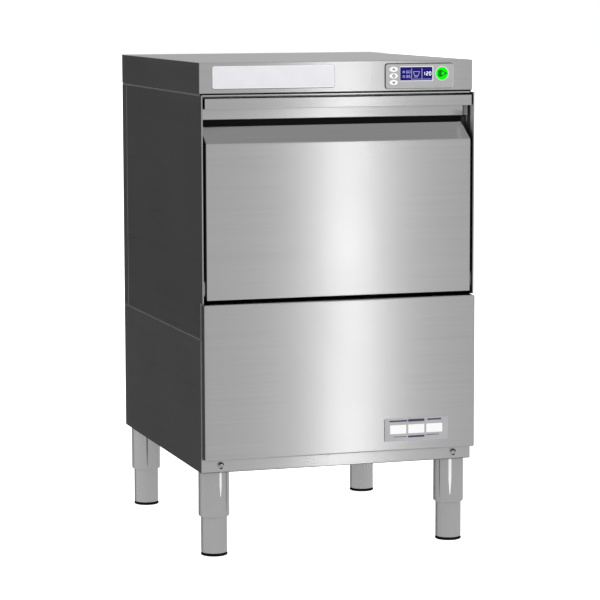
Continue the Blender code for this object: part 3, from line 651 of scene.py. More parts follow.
# Narrow strips down each sleeve, painted highlights and painted shade lines: azimuth in degrees,
# width, length and material.
LEG_PAINTED_STRIPS = {"front_left": ((-79.3, 0.0037, 0.041, PAINTED_LEG_HIGHLIGHT), (-51.9, 0.0014, 0.068, PAINTED_SHADE_LINE)),
             "front_right": ((-103.8, 0.0050, 0.062, PAINTED_LEG_HIGHLIGHT),
                             (-146.3, 0.0014, 0.068, PAINTED_SHADE_LINE)),
             "back_left": ((-99.6, 0.0024, 0.070, PAINTED_SHADE_LINE),),
             "back_right": ()}


def leg_strip(name, corner, azimuth, wide, length, surface):
    """Narrow painted strip down a sleeve from its top, tapering to a point over its lower half:
    a painted highlight in the light material, a painted shade line in the dark one.
    """
    low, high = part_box("leg_sleeve_" + corner)
    outline = [(-wide / 2, 0), (-wide / 2, -length * 0.55), (-wide * 0.15, -length),
               (wide * 0.15, -length), (wide / 2, -length * 0.55), (wide / 2, 0)]
    turn = Matrix.Rotation(math.radians(azimuth + 90), 4, "Z") @ facing_front(0.0)
    reach = (high.x - low.x) / 2 - 0.0001
    way = Vector((math.cos(math.radians(azimuth)), math.sin(math.radians(azimuth)), 0))
    top = Vector((*middle("leg_sleeve_" + corner, "xy"), high.z - 0.0002))
    place = Matrix.Translation(top + way * reach) @ turn
    mount(outline_solid(name, [outline], 0.0003, surface, place), CABINET, "leg_steel")


def build_leg(corner):
    """Sleeve with its painted highlight and shade strips, foot tube and rubber pad."""
    low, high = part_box("leg_sleeve_" + corner)
    x, y = middle("leg_sleeve_" + corner, "xy")
    here = Matrix.Translation((x, y, 0))
    # Rear legs take the lighter steel: painted light against the shade under the body.
    steel = LEG_STEEL if corner.startswith("front") else REAR_LEG_STEEL_PAINTED_LIGHT
    foot_low, foot_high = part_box("foot_tube_" + corner)
    radius, foot = (high.x - low.x) / 2, (foot_high.x - foot_low.x) / 2
    bore, wall = foot + 0.0006, foot - 0.0015
    profile = [(0, high.z), (radius, high.z), (radius, low.z + 0.0018),
               (radius - 0.0008, low.z + 0.0005), (radius - 0.0018, low.z), (bore, low.z),
               (bore, high.z - 0.003), (0, high.z - 0.003)]
    sleeve = turned("sleeve_" + corner, profile, steel, here, 96)
    mount(sleeve, CABINET, "leg_steel", "leg_sleeve_" + corner)
    for i, flat in enumerate(LEG_PAINTED_STRIPS[corner]):
        leg_strip("flat_%d_%s" % (i, corner), corner, *flat)

    profile = [(wall, foot_high.z), (foot, foot_high.z), (foot, foot_low.z + 0.0010),
               (foot - 0.0004, foot_low.z + 0.0003), (foot - 0.0012, foot_low.z),
               (0, foot_low.z), (0, foot_low.z + 0.002), (wall, foot_low.z + 0.002)]
    tube = turned("tube_" + corner, profile, steel, here, 72, closed=True)
    mount(tube, "foot_" + corner, "leg_steel", "foot_tube_" + corner)

    pad_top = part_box("foot_pad_" + corner)[1]
    profile = [(0, pad_top.z), (foot - 0.0008, pad_top.z)]
    profile += arc(pad_top.x - x - 0.0017, 0.0019, 0.0017, 0.0019, 80, -90, 8)
    profile += [(foot - 0.004, 0), (foot - 0.006, 0.0008), (0, 0.0008)]
    pad = turned("pad_" + corner, profile, PAD_RUBBER_AND_GAP_SHADE, here, 72)
    mount(pad, "foot_" + corner, "rubber", "foot_pad_" + corner)


# ---- name plate and label
def build_badge():
    """Blank name plate with a rolled rim and a painted shadow."""
    _, high, x, z, wide, tall = front_of("badge_plate")
    face = rounded_rect(x, z, wide, tall, 0.0032)
    raised("badge_face", [face], high.y, 0.0007, BADGE, "badge", edge=0.0002,
           nodes=("badge_plate",))
    rim = [face, rounded_rect(x, z, wide - 0.0036, tall - 0.0036, 0.0018)]
    raised("badge_rim", rim, high.y - 0.0005, 0.0005, BADGE_RIM, "badge", edge=0.0002)
    # Dark plate set down and to the right: painted shadow below and right of the plate.
    shadow = rounded_rect(x + 0.0004, z - 0.0005, wide + 0.0006, tall + 0.0006, 0.0034)
    raised("badge_gasket", [shadow], high.y + 0.0001, 0.0002, DARK_LINE_AND_SHADE, "badge")


def build_label():
    """Data plate with three empty fields and plain bars."""
    low, high, x, z, wide, tall = front_of("rating_label")
    raised("label_plate", [rounded_rect(x, z, wide, tall, 0.0022)], high.y, 0.0002, LABEL,
           "label", nodes=("rating_label",))
    pitch = wide * 0.284
    areas = {"field_%d" % (i + 1): (LABEL_FIELD, x + (i - 1) * pitch, z + tall * 0.015,
                                    pitch * 0.89, tall * 0.385, 0.0004) for i in range(3)}
    for bar, bar_x, bar_z, length, height in (
            ("header", x, 0.385, 0.26, 0.0042), ("footer", x, -0.320, 0.26, 0.0032),
            ("heading_left", x - pitch, 0.380, 0.28, 0.0026),
            ("heading_right", x + pitch, 0.395, 0.22, 0.0026),
            ("rule_left", x - pitch * 0.9, -0.310, 0.20, 0.0010),
            ("rule_right", x + pitch * 0.9, -0.280, 0.20, 0.0010)):
        areas[bar] = (LABEL_INK, bar_x, z + tall * bar_z, wide * length, height, height * 0.4)
    areas["edge_line"] = (DARK_LINE_AND_SHADE, low.x + 0.0004, z, 0.0008, tall - 0.003, 0.0003)
    for name, (surface, *area) in areas.items():
        raised("label_" + name, [rounded_rect(*area)], high.y - 0.0002, 0.0001, surface,
               "label")


# ---- controls
SEGMENTS = {"0": "abcdef", "1": "bc", "2": "abged", "5": "afgcd", "6": "afgedc",
            "8": "abcdefg"}
SEGMENT_ENDS = {"a": ((0, 1), (1, 1)), "b": ((1, 1), (1, 0.5)), "c": ((1, 0.5), (1, 0)),
                "d": ((0, 0), (1, 0)), "e": ((0, 0.5), (0, 0)), "f": ((0, 1), (0, 0.5)),
                "g": ((0, 0.5), (1, 0.5))}


def digit(x, z, wide, tall, text, pen):
    """Strokes of one seven-segment numeral."""
    lines = []
    for letter in SEGMENTS[text]:
        start, end = (Vector((x + u * wide, z + v * tall)) for u, v in SEGMENT_ENDS[letter])
        gap = (end - start).normalized() * 0.00025
        lines += stroke([tuple(start + gap), tuple(end - gap)], pen)
    return lines


def build_display(bezel_face):
    """Display window, its light frame, the cells, a cup sign and plain numbers in them."""
    _, _, x, z, wide, tall = front_of("display_window")
    rim = [rounded_rect(x + 0.0006, z + 0.0002, wide + 0.0016, tall + 0.0022, 0.0014),
           rounded_rect(x, z, wide - 0.0006, tall - 0.0006, 0.0006)]
    raised("display_frame", rim, bezel_face + 0.0001, 0.0006, FRAME_WHITE, "bezel", edge=0.0002)
    raised("display_glass", [rounded_rect(x, z, wide, tall, 0.0010)], bezel_face + 0.0002,
           0.0004, DISPLAY, "display", nodes=("display_window",))
    left, right, floor = x - 0.0083, x + 0.0102, z - 0.0092
    top = z + tall * 0.38
    cup_x, cup_z, cup = x + 0.0003, z - 0.0006, 0.0058
    cup_line = [(cup_x - cup, cup_z + cup * 0.72), (cup_x - cup * 0.5, cup_z - cup * 0.5),
                (cup_x + cup * 0.5, cup_z - cup * 0.5), (cup_x + cup, cup_z + cup * 0.72)]
    saucer = cup_z - cup * 0.86
    lines = []
    for points, pen in (([(left, floor), (left, top)], 0.0010),
                        ([(right, floor), (right, top)], 0.0010),
                        ([(left, floor), (x + wide * 0.485, floor)], 0.0008),
                        (cup_line, 0.0010), ([cup_line[0], cup_line[-1]], 0.0009),
                        ([(cup_x - cup * 0.7, saucer), (cup_x + cup * 0.5, saucer)], 0.0010)):
        lines += stroke(points, pen)
    for row, text in ((z + 0.0031, "60"), (z - 0.0045, "85")):
        for lift in (-0.0011, 0.0011):
            lines += stroke([(x - 0.0244, row + lift), (x - 0.0202, row + lift)], 0.0011)
        for i, numeral in enumerate(text):
            lines += digit(x - 0.0176 + i * 0.0040, row - 0.0019, 0.0028, 0.0038, numeral,
                           0.0008)
    numerals = []
    for numeral, offset in (("1", 0.0122), ("2", 0.0181), ("0", 0.0233)):
        numerals += digit(x + offset, z - 0.0027, 0.0030, 0.0056, numeral, 0.0010)
    for name, drawn, surface in (("display_lines", lines, DISPLAY_LINE),
                                 ("display_numerals", numerals, DISPLAY_MARK)):
        printed(name, [[line] for line in drawn], bezel_face - 0.0002 - PRINT / 2, surface,
                CABINET, "display")


def printed(name, marks, depth, surface, body, slot):
    """Thin marks, each a list of outlines, joined into one piece about a depth."""
    strips = [outline_solid("%s_%d" % (name, i), outlines, PRINT, surface, facing_front(depth))
              for i, outlines in enumerate(marks)]
    mount(join(strips, name), body, slot)


def build_key(node, body, surface, slot, marks, mark_surface, steps):
    """Domed key cap with its retaining flange and raised mark."""
    low, high, x, z, wide, tall = front_of(node)
    flange_x, flange_z = wide / 2, tall / 2
    cap_z = flange_z / (1.0 + KEY_FLANGE / (flange_z - KEY_FLANGE))
    cap_x = flange_x * cap_z / flange_z
    bezel_low, bezel_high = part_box("control_bezel")
    front = bezel_low.y
    rise, behind, rear = front - low.y, front - bezel_high.y - 0.0003, front - high.y
    profile = [(0, rise), *arc(cap_z - 0.0012, rise - 0.0009, 0.0012, 0.0009, 90, 0, 6),
               (cap_z, behind), (flange_z, behind), (flange_z, behind - 0.0008),
               (cap_z * 0.5, behind - 0.0008), (cap_z * 0.5, rear), (0, rear)]
    place = facing_front(front, x, z) @ Matrix.Diagonal((cap_x / cap_z, 1, 1, 1))
    mount(turned(node + "_cap", profile, surface, place, steps), body, slot, node)
    printed(node + "_mark", marks(x, z), low.y - 0.00004, mark_surface, body, slot)


def chevron(direction):
    """Mark of an arrow key that points up or down."""
    def draw(x, z):
        arm = 0.0022
        tip = direction * arm * 0.65
        return [stroke([(x - arm, z - tip), (x, z + tip), (x + arm, z - tip)], 0.0015)]
    return draw


def select_mark(x, z):
    """Mark of the select key: a small open diamond."""
    arm = 0.0025
    corners = [(x - arm, z), (x, z + arm), (x + arm, z), (x, z - arm)]
    return [stroke(corners, 0.0012, closed=True)]


def play_mark(x, z):
    """Mark of the start key: an open triangle."""
    corners = [(x - 0.0020, z - 0.0050), (x - 0.0020, z + 0.0050), (x + 0.0078, z)]
    return [stroke(corners, 0.0017, closed=True)]


KEY_FLANGE = 0.0007          # how far a key's flange reaches past its cap
WHITE_KEY = (KEY_WHITE, "key_white")
KEYS = {"up_button": ("up_key", *WHITE_KEY, chevron(1), KEY_MARK, 48),
        "select_button": ("select_key", *WHITE_KEY, select_mark, KEY_MARK, 48),
        "down_button": ("down_key", *WHITE_KEY, chevron(-1), KEY_MARK, 48),
        "start_button": ("start_key", KEY_GREEN, "key_green", play_mark, KEY_GREEN_MARK, 72)}


def build_controls():
    """Bezel, display and keys."""
    low, high, x, z, wide, tall = front_of("control_bezel")
    outlines = [rounded_rect(x, z, wide, tall, 0.0042, 8)]
    for node in KEYS:
        _, _, key_x, key_z, key_wide, key_tall = front_of(node)
        hole = key_tall / 2 - KEY_FLANGE + 0.0003
        outlines.append(ellipse(key_x, key_z, hole * key_wide / key_tall, hole, 40))
    plate = outline_solid("bezel_plate", outlines, high.y - low.y, BEZEL,
                          facing_front((low.y + high.y) / 2))
    bevel(plate, 0.0004, 2, 50)
    mount(plate, CABINET, "bezel", "control_bezel")
    inner = rounded_rect(x, z, wide + HAIR, tall + HAIR, 0.0042, 8)
    # Dark ring set up and to the left: painted shadow along the bezel's top and left edges.
    shadow_ring = [rounded_rect(x - 0.0006, z + 0.0005, wide + 0.0014, tall + 0.0022, 0.0048, 8), inner]
    raised("bezel_gasket", shadow_ring, high.y + 0.0002, 0.0011, DARK_LINE_AND_SHADE, "bezel")
    # Light ring set to the right: painted highlight along the bezel's right edge.
    lip = [rounded_rect(x + 0.0005, z, wide + 0.0012, tall + 0.0004, 0.0046, 8), inner]
    raised("bezel_lip", lip, high.y + 0.0002, 0.0007, FRAME_WHITE, "bezel")
    key_low, _, x, z, _, key_tall = front_of("start_button")
    ring = [ellipse(x, z, reach, reach, 56)
            for reach in (key_tall / 2 + 0.0008, key_tall / 2 - 0.0003)]
    raised("start_key_ring", ring, low.y + HAIR, 0.0005, FRAME_WHITE, "bezel", edge=0.00015)
    build_display(low.y)
    for node, key in KEYS.items():
        build_key(node, *key)
    # Painted shade: a darker green patch on the left of the start key.
    shade = [(x - 0.0072, z - 0.0050), (x - 0.0072, z + 0.0050), (x - 0.0022, z + 0.0062),
             (x - 0.0022, z - 0.0062)]
    raised("start_key_painted_shade", [shade], key_low.y - 0.00001, 0.00004, KEY_GREEN_PAINTED_SHADE,
           "key_green", "start_key")


# ---- door
FOLD_Z, SLANT = 0.696, 0.62          # foot of the door's slanted top, and its rise per depth
LIP_BOTTOM = 0.753
LIP_LOW, LIP_HIGH = (-0.2640, 0.7546), (-0.2262, 0.7700)     # Y and Z inside the lip

# Strips on the right side, mirrored to the left, that paint the shade in the gaps: name, body,
# material, corners, edge.
PAIRED_GAP_SHADES = (
    ("door_edge_gap_shade_", DOOR, RUBBER_AND_GAP_SHADE, (0.23265, -0.2668, 0.440), (0.23330, -0.2262, 0.6940),
     0.0002),
    ("door_jamb_gap_shade_", CABINET, RUBBER_AND_GAP_SHADE, (0.2380, -0.2520, 0.436), (0.23855, -0.2375, 0.7670),
     0.0001),
    ("lip_end_gap_shade_", DOOR, DARK_LINE_AND_SHADE, (0.1912, *LIP_LOW), (0.2318, *LIP_HIGH), 0.0004),
    ("lip_end_cap_gap_shade_", DOOR, PAD_RUBBER_AND_GAP_SHADE, (0.2320, *LIP_LOW), (0.2338, *LIP_HIGH), 0.0004))


def build_skin():
    """Outer skin of the door, with its slanted top."""
    low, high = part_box("door_outer_skin")
    liner_low, liner_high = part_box("door_inner_liner")
    tray_back, flap = liner_low.y - 0.0003, 0.0115
    tray_top = FOLD_Z + (tray_back - low.y) * SLANT
    bm = cube(low, (high.x, tray_back, FOLD_Z))
    for vert in bm.verts:
        if vert.co.z > FOLD_Z - 0.001 and vert.co.y > low.y + 0.001:
            vert.co.z = tray_top
    drop_faces(bm, (0, 1, 0))
    for vert in grow(bm, [e for e in open_rim(bm)
                          if all(v.co.z > tray_top - 0.001 for v in e.verts)]):
        vert.co.y += flap
        vert.co.z += flap * SLANT
    skin = from_bmesh("door_skin", bm, FRONT_STEEL)
    bevel(skin, 0.0014, 4)
    thicken(skin)
    for side, _ in SIDES:
        near, far = sorted((side * 0.2250, side * 0.2400))
        cut_block(skin, (near, tray_back - HAIR, FOLD_Z), (far, liner_high.y, 0.77))
    y, z = middle("hinge_pin_left", "yz")
    pin_hole, past_door = 0.0044, 0.26
    cut_rod(skin, (-past_door, y, z), (past_door, y, z), pin_hole, 24)
    bevel(skin, EASED, 2, 60)
    mount(skin, DOOR, "front_steel", "door_outer_skin")


def gap_block(name, body, surface, low, high, edge, segments=2):
    """A block with eased edges set in a gap; the black ones paint the shade there."""
    mount(block(name, low, high, surface, edge, segments), body, "rubber")


def build_seals():
    """Black strips that paint the shade in the gaps round the door and inside its lip, and a
    grey tab in the right jamb.
    """
    front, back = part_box("door_outer_skin")[0].y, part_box("door_inner_liner")[1].y - 0.0014
    (y0, z0), (y1, z1) = [(y, FOLD_Z + (y - front) * SLANT + 0.0002) for y in (-0.2228, back)]
    section = [(y0, z0), (y1, z1), (y1, z1 + 0.0030), (y0 + 0.0010, z0 + 0.0014)]
    gap_shade_band = outline_solid("door_top_gasket", [section], 0.4496, PAD_RUBBER_AND_GAP_SHADE, ALONG_X)
    bevel(gap_shade_band, EASED, 2, 40)
    mount(gap_shade_band, DOOR, "rubber")
    gap_block("door_head_gap_shade", DOOR, PAD_RUBBER_AND_GAP_SHADE, (-0.2315, -0.22520, 0.7232),
         (0.2315, -0.22505, 0.7690), 0.00004, 1)
    for side, side_name in SIDES:
        for name, body, surface, low, high, edge in PAIRED_GAP_SHADES:
            near, far = sorted((side * low[0], side * high[0]))
            gap_block(name + side_name, body, surface, (near, *low[1:]), (far, *high[1:]), edge)
    gap_block("lip_gap_shade", DOOR, PAD_RUBBER_AND_GAP_SHADE, (-0.1910, *LIP_LOW), (0.1910, *LIP_HIGH), 0.0004)
    for part, bottom, top in (("low", 0.436, 0.7345), ("high", 0.7535, 0.7720)):
        gap_block("hem_gap_shade_" + part, CABINET, PAD_RUBBER_AND_GAP_SHADE, (0.2376, -0.2573, bottom),
             (0.2394, -0.2569, top), 0.0001, 1)
    gap_block("jamb_tab", CABINET, JAMB_GREY, (0.2352, -0.2450, 0.7345), (0.2360, -0.2268, 0.7530),
         0.0002)


def build_handle():
    """Handle channel: one strip bent into the lip and the web below it, hemmed at both ends."""
    low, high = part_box("door_handle_channel")
    front, back, hem, hem_length = low.y, high.y - SHEET, 0.0030, 0.0080
    profile = [(back + hem, low.z + hem_length), (back + hem, low.z), (back, low.z),
               (back, LIP_BOTTOM), (front, LIP_BOTTOM), (front, high.z), (front + hem, high.z),
               (front + hem, high.z - hem_length)]
    bm = bmesh.new()
    start = [bm.verts.new((low.x, y, z)) for y, z in profile]
    moved = grow(bm, [bm.edges.new(pair) for pair in zip(start, start[1:])])
    bmesh.ops.translate(bm, verts=moved, vec=(high.x - low.x, 0, 0))
    channel = from_bmesh("door_handle", bm, FRONT_STEEL)
    bevel(channel, 0.0011, 4)
    thicken(channel)
    bevel(channel, EASED, 2, 60)
    mount(channel, DOOR, "front_steel", "door_handle_channel")


def build_liner():
    """Inner liner of the door, pressed in two steps."""
    low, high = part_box("door_inner_liner")
    rim_y = low.y + 0.001
    bm = cube((-0.227, rim_y, 0.460), (0.227, high.y, 0.7645))
    drop_faces(bm, (0, -1, 0))
    back = next(f for f in bm.faces if f.normal.y > 0.9)
    for border, press in ((0.030, -0.0025), (0.060, 0.0020)):
        bmesh.ops.inset_individual(bm, faces=[back], thickness=border)
        bmesh.ops.inset_individual(bm, faces=[back], thickness=0.006)
        bmesh.ops.translate(bm, verts=back.verts, vec=(0, press, 0))
    add_flange(bm, 1, rim_y, 0.0045, bottom_reach=0.0225)
    liner = from_bmesh("door_liner", bm, INNER_STEEL)
    thicken(liner, 0.0010, sharp_folds=True)
    apply_modifiers(liner)
    bevel(liner, 0.0006, 2, 20)
    mount(liner, DOOR, "inner_steel", "door_inner_liner")


# ---- wash chamber
def build_chamber():
    """Rounded wash chamber with its well, and the strainer with its rows of holes."""
    low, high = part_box("wash_chamber")
    tank_low, tank_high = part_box("wash_tank")
    floor, ceiling, half, corner_radius, lap = 0.447, 0.765, 0.225, 0.013, 0.014
    bm = cube((-half, low.y, floor), (half, high.y - SHEET, ceiling))
    drop_faces(bm, (0, -1, 0))
    bmesh.ops.bevel(bm, geom=[e for e in bm.edges if not e.is_boundary], offset=corner_radius,
                    segments=6, affect="EDGES", profile=0.5)
    add_square_flange(bm, low, high)
    bmesh.ops.reverse_faces(bm, faces=bm.faces)
    made = from_bmesh("chamber_tub", bm, INNER_STEEL)
    thicken(made)
    cut_block(made, (tank_low.x + lap, tank_low.y + lap, floor - 0.012),
              (tank_high.x - lap, tank_high.y - lap, floor + 0.013), 0.010, 4)
    axis_x, axis_y = middle("upper_arm_spindle", "xy")
    spindle_hole = 0.0105
    cut_rod(made, (axis_x, axis_y, ceiling - 0.015), (axis_x, axis_y, ceiling + 0.015),
            spindle_hole)
    mount(made, CABINET, "inner_steel", "wash_chamber")

    low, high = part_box("tank_strainer")
    x, y = middle("tank_strainer", "xy")
    outlines = [rounded_rect(x, y, high.x - low.x, high.y - low.y, 0.010),
                ellipse(axis_x, axis_y, 0.0135, 0.0135)]
    pitch, columns, rows, hole, clear_of_axis = 0.0125, 20, 18, 0.0030, 0.022
    for column in range(columns):
        for row in range(rows):
            hole_x = x + (column - (columns - 1) / 2) * pitch
            hole_y = y + (row - (rows - 1) / 2) * pitch
            if math.hypot(hole_x - axis_x, hole_y - axis_y) > clear_of_axis:
                outlines.append(ellipse(hole_x, hole_y, hole, hole, 10))
    mount(slab("strainer_grid", outlines, low.z, high.z, INNER_STEEL), CABINET, "inner_steel",
          "tank_strainer")


def add_square_flange(bm, low, high):
    """Grow the rounded front rim of the tub outwards to a square-cornered flange."""
    verts = grow(bm, open_rim(bm))
    widest = max(v.co.x for v in verts)
    bottom, top = min(v.co.z for v in verts), max(v.co.z for v in verts)
    for vert in verts:
        vert.co.y = low.y
        vert.co.x *= high.x / widest
        vert.co.z = low.z + (vert.co.z - bottom) / (top - bottom) * (high.z - low.z)


NARROWING, THINNING = 0.30, 0.25     # how much an arm loses towards its tips


def blade_mesh(centre, reach, wide, tall):
    """A flattened tube that tapers to both ends and closes there."""
    rings, around = 40, 20
    bm = bmesh.new()
    previous = None
    for i in range(rings + 1):
        x = reach * math.sin((-1 + 2 * i / rings) * math.pi / 2)
        out = abs(x) / reach
        end = max(0.0, 1 - out ** 10) ** 0.5
        width = max(wide * (1 - NARROWING * out) * end, 1e-5)
        height = max(tall * (1 - THINNING * out) * end, 1e-5)
        ring = []
        for j in range(around):
            angle = 2 * math.pi * j / around
            flat, lift = (abs(turn) ** 0.75 * math.copysign(1, turn)
                          for turn in (math.cos(angle), math.sin(angle)))
            ring.append(bm.verts.new(centre + Vector((x, flat * width, lift * height))))
        if previous:
            for j in range(around):
                k = (j + 1) % around
                bm.faces.new((previous[j], previous[k], ring[k], ring[j]))
        previous = ring
    bmesh.ops.remove_doubles(bm, verts=bm.verts, dist=5e-5)
    bmesh.ops.recalc_face_normals(bm, faces=bm.faces)
    return bm


def build_arm(node, jets, side):
    """Spray arm: a flattened tapering tube through a hub, with jets on its wet side."""
    low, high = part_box(node)
    centre = (low + high) / 2
    reach, half = (high.x - low.x) / 2, (high.z - low.z) / 2
    wide, tall, hub = 0.0080, 0.0035, (high.y - low.y) / 2
    if "wash" in node:
        wide, tall, hub = 0.0165, 0.0045, 0.019
    bore, ease, round_off = 0.0100, 0.0004, 0.0015
    blade = from_bmesh(node + "_blade", blade_mesh(centre, reach, wide, tall), ARM_PLASTIC)
    through = Vector((0, 0, 0.02))
    cut_rod(blade, centre - through, centre + through, bore + 0.001)
    profile = [(bore, half - ease), (bore + ease, half), (hub - round_off, half),
               (hub, half - round_off), (hub, -half + round_off), (hub - round_off, -half),
               (bore + ease, -half), (bore, -half + ease)]
    parts = [blade, turned(node + "_hub", profile, ARM_PLASTIC, Matrix.Translation(centre), 48,
                           closed=True)]
    jet = [(0.0012, 0.0008), (0.0012, 0.0016), (0.0026, 0.0014), (0.0034, 0.0),
           (0.0034, -0.0012), (0.0012, -0.0012)]
    flip = Matrix.Rotation(0 if side > 0 else math.pi, 4, "X")
    first, span, stagger, sunk, lean = 0.22, 0.70, 0.25, 0.8, math.radians(12)
    for i in range(jets):
        for end in (-1, 1):
            along = first + span * (i + (stagger if end > 0 else 0)) / jets
            x = centre.x + end * reach * along
            top = tall * (1 - THINNING * abs(x) / reach) * sunk
            place = (Matrix.Translation((x, centre.y, centre.z + side * top)) @ flip
                     @ Matrix.Rotation(end * lean, 4, "X"))
            parts.append(turned("jet", jet, ARM_PLASTIC, place, 20, closed=True))
    for part in parts[1:]:
        apply_modifiers(part)
    mount(join(parts, node + "_arm"), node + "_rotor", "arm_plastic", node)


# ---- pieces kept from the CAD
CARRIED = {
    INNER_STEEL: ("rack_rail_left", "rack_rail_right", "wash_tank", "rinse_boiler"),
    BRIGHT: ("hinge_bracket_left", "hinge_bracket_right", "hinge_pin_left", "hinge_pin_right",
             "door_spring_left", "door_spring_right", "tank_heater"),
    RUBBER_AND_GAP_SHADE: ("door_seal", "upper_feed_pipe", "cable_gland"),
    ARM_PLASTIC: ("lower_arm_spindle", "upper_arm_spindle", "overflow_standpipe",
                  "drain_outlet"),
    PUMP_PAINT: ("wash_pump",),
    BOARD: ("control_board",),
    BRASS: ("water_inlet",),
}


def smooth_group(angle):
    """Geometry nodes that weld a faceted mesh and shade it smooth below an edge angle."""
    group = bpy.data.node_groups.new("smooth_by_angle", "GeometryNodeTree")
    for way in ("INPUT", "OUTPUT"):
        group.interface.new_socket("Geometry", in_out=way, socket_type="NodeSocketGeometry")
    source = group.nodes.new("NodeGroupInput")
    target = group.nodes.new("NodeGroupOutput")
    corner = group.nodes.new("GeometryNodeInputMeshEdgeAngle").outputs[0]
    weld = add(group, "GeometryNodeMergeByDistance", {0: source.outputs[0], "Distance": 1e-6})
    sharp = add(group, "FunctionNodeCompare", {0: corner, 1: angle}, operation="GREATER_THAN")
    smooth = add(group, "GeometryNodeSetShadeSmooth", {0: weld.outputs[0]}, domain="FACE")
    keep = add(group, "GeometryNodeSetShadeSmooth",
               {0: smooth.outputs[0], "Selection": sharp.outputs[0], "Shade Smooth": False},
               domain="EDGE")
    group.links.new(keep.outputs[0], target.inputs[0])
    return group


def carry_over():
    """Keep CAD nodes with their own material, shaded smooth between their corners."""
    group = smooth_group(0.6)
    for surface, nodes in CARRIED.items():
        for node in nodes:
            obj = frame["nodes"][node]
            obj.data.materials.clear()
            obj.data.materials.append(surface)
            obj.modifiers.new("smooth", "NODES").node_group = group


# ---- studio
CAMERA_AT = (-1.388, -4.4396, 0.959)
CAMERA_YAW, CAMERA_PITCH, CAMERA_ROLL = 17.519, 6.865, -0.151      # degrees
CAMERA_LENS = 158.05
STRIP_AT = (0.309, -1.154, 0.38)
WHITE = (1.0, 1.0, 1.0, 1.0)


def build_camera():
    """Long-lens camera in front, to the left and slightly above."""
    data = bpy.data.cameras.new("camera")
    data.lens = CAMERA_LENS
    data.sensor_width = 36.0
    data.clip_end = 60.0
    camera = link_object("camera", data)
    yaw, pitch, roll = (Matrix.Rotation(math.radians(turn), 4, axis) for turn, axis in (
        (-CAMERA_YAW, "Z"), (90 - CAMERA_PITCH, "X"), (CAMERA_ROLL, "Z")))
    camera.matrix_world = Matrix.Translation(CAMERA_AT) @ (yaw @ pitch @ roll)
    bpy.context.scene.camera = camera


def hide_from(obj, *rays):
    """Hide an object from some kinds of ray."""
    for ray in rays:
        setattr(obj, "visible_" + ray, False)


def build_strip():
    """Tall strip light whose reflection runs down the front; the camera doesn't see it."""
    data = bpy.data.lights.new("front_strip", "AREA")
    data.shape = "RECTANGLE"
    data.size = 0.05
    data.size_y = 1.40
    data.energy = 0.91
    light = link_object("front_strip", data)
    light.location = STRIP_AT
    ahead = Vector((STRIP_AT[0], 0.0, STRIP_AT[2])) - Vector(STRIP_AT)
    light.rotation_euler = ahead.to_track_quat("-Z", "Y").to_euler()
    hide_from(light, "camera")
    lit = bpy.data.collections.new("lit_by_strip")
    for piece in bpy.context.scene.objects:
        if piece.type == "MESH" and not piece.name.startswith(("sleeve", "tube", "floor")):
            lit.objects.link(piece)
    light.light_linking.receiver_collection = lit


def build_floor():
    """Pale floor that only the camera sees."""
    bm = bmesh.new()
    bmesh.ops.create_grid(bm, x_segments=1, y_segments=1, size=30.0)
    pale = moulded("pale_floor", (0.90, 0.90, 0.90), 0.8, 300.0, 0.02, 0.01)
    floor = from_bmesh("floor", bm, light_up(pale, WHITE[:3], 0.80))
    hide_from(floor, "glossy", "diffuse", "shadow")


def build_world():
    """White backdrop; even light on matt surfaces; a dark side for the steel to mirror."""
    world = bpy.data.worlds.new("studio")
    bpy.context.scene.world = world
    world.use_nodes = True
    world.cycles.sampling_method = "NONE"
    tree = world.node_tree
    tree.nodes.clear()
    where = add(tree, "ShaderNodeTexCoord").outputs["Generated"]
    dark_way = Vector((-0.30, 0.95, -0.12)).normalized()
    toward = add(tree, "ShaderNodeVectorMath", {0: where, 1: tuple(dark_way)},
                 operation="DOT_PRODUCT")
    dark = spread(tree, toward.outputs["Value"], 0.0, 1.0, 0.80, 0.95)
    mirror = mix(tree, "RGBA", dark, (0.560, 0.560, 0.560, 1.0), (0.048, 0.048, 0.048, 1.0))
    path = add(tree, "ShaderNodeLightPath").outputs
    matt = mix(tree, "RGBA", path["Is Diffuse Ray"], mirror, (1.02, 1.02, 1.02, 1.0))
    seen = mix(tree, "RGBA", path["Is Camera Ray"], matt, WHITE)
    background = add(tree, "ShaderNodeBackground", {"Color": seen})
    add(tree, "ShaderNodeOutputWorld", {0: background.outputs[0]})


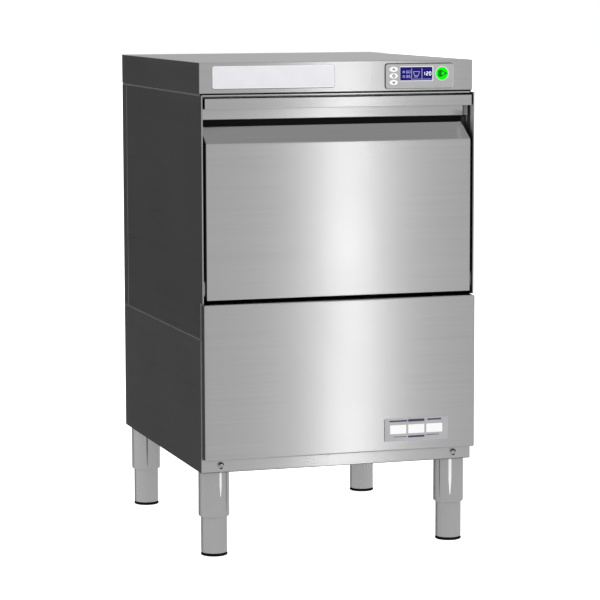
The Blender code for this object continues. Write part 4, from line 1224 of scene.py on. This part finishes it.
def reflector(name, strength):
    """Even glow from the front of a face; the back is clear."""
    made = bpy.data.materials.new(name)
    made.use_nodes = True
    tree = made.node_tree
    tree.nodes.clear()
    back = add(tree, "ShaderNodeNewGeometry").outputs["Backfacing"]
    glow = add(tree, "ShaderNodeEmission", {"Color": WHITE, "Strength": strength})
    clear = add(tree, "ShaderNodeBsdfTransparent")
    mixed = add(tree, "ShaderNodeMixShader", {0: back, 1: glow.outputs[0], 2: clear.outputs[0]})
    add(tree, "ShaderNodeOutputMaterial", {0: mixed.outputs[0]})
    return made


def build_card():
    """Reflectors inside the handle: a card for the slanted plate and two faces at its end."""
    low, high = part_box("door_handle_channel")
    bm = bmesh.new()
    back, top = high.y - SHEET, LIP_BOTTOM - 0.0004
    corners = [(low.y + 0.0002, top), (back - 0.0004, top), (back - 0.0004, low.z),
               (high.y - 0.0001, low.z), (high.y - 0.0001, low.z - 0.0108)]
    left, right = [[bm.verts.new((x, y, z)) for y, z in corners] for x in (low.x, high.x)]
    for i in range(len(corners) - 1):
        bm.faces.new((left[i + 1], right[i + 1], right[i], left[i]))
    end_x, split = high.x + 0.0006, low.z + 0.007
    for end in ([(low.y, low.z - 0.038), (low.y, split), (back, split), (back, low.z - 0.010)],
                [(low.y, split), (low.y, top), (back, top), (back, split)]):
        face = bm.faces.new([bm.verts.new((end_x, y, z)) for y, z in end])
    face.material_index = 1
    card = from_bmesh("handle_card", bm, reflector("handle_reflector", 0.37))
    card.data.materials.append(reflector("end_reflector", 0.56))
    hide_from(card, "camera", "diffuse", "shadow", "transmission")


build_hood()
for panel_side, panel_name in SIDES:
    build_side(panel_name + "_side_panel", panel_side)
build_casing()
for _, panel_name in SIDES:
    build_screw(panel_name + "_panel_screw")
for leg_corner in LEG_PAINTED_STRIPS:
    build_leg(leg_corner)
build_badge()
build_label()
build_controls()
build_skin()
build_seals()
build_handle()
build_liner()
build_chamber()
for arm_node, jet_pairs, wet_side in (("lower_wash_arm", 5, 1), ("lower_rinse_arm", 6, 1),
                                      ("upper_wash_arm", 5, -1), ("upper_rinse_arm", 6, -1)):
    build_arm(arm_node, jet_pairs, wet_side)
carry_over()
build_camera()
build_floor()
build_strip()
build_card()
build_world()
bpy.context.scene.view_settings.view_transform = "Standard"
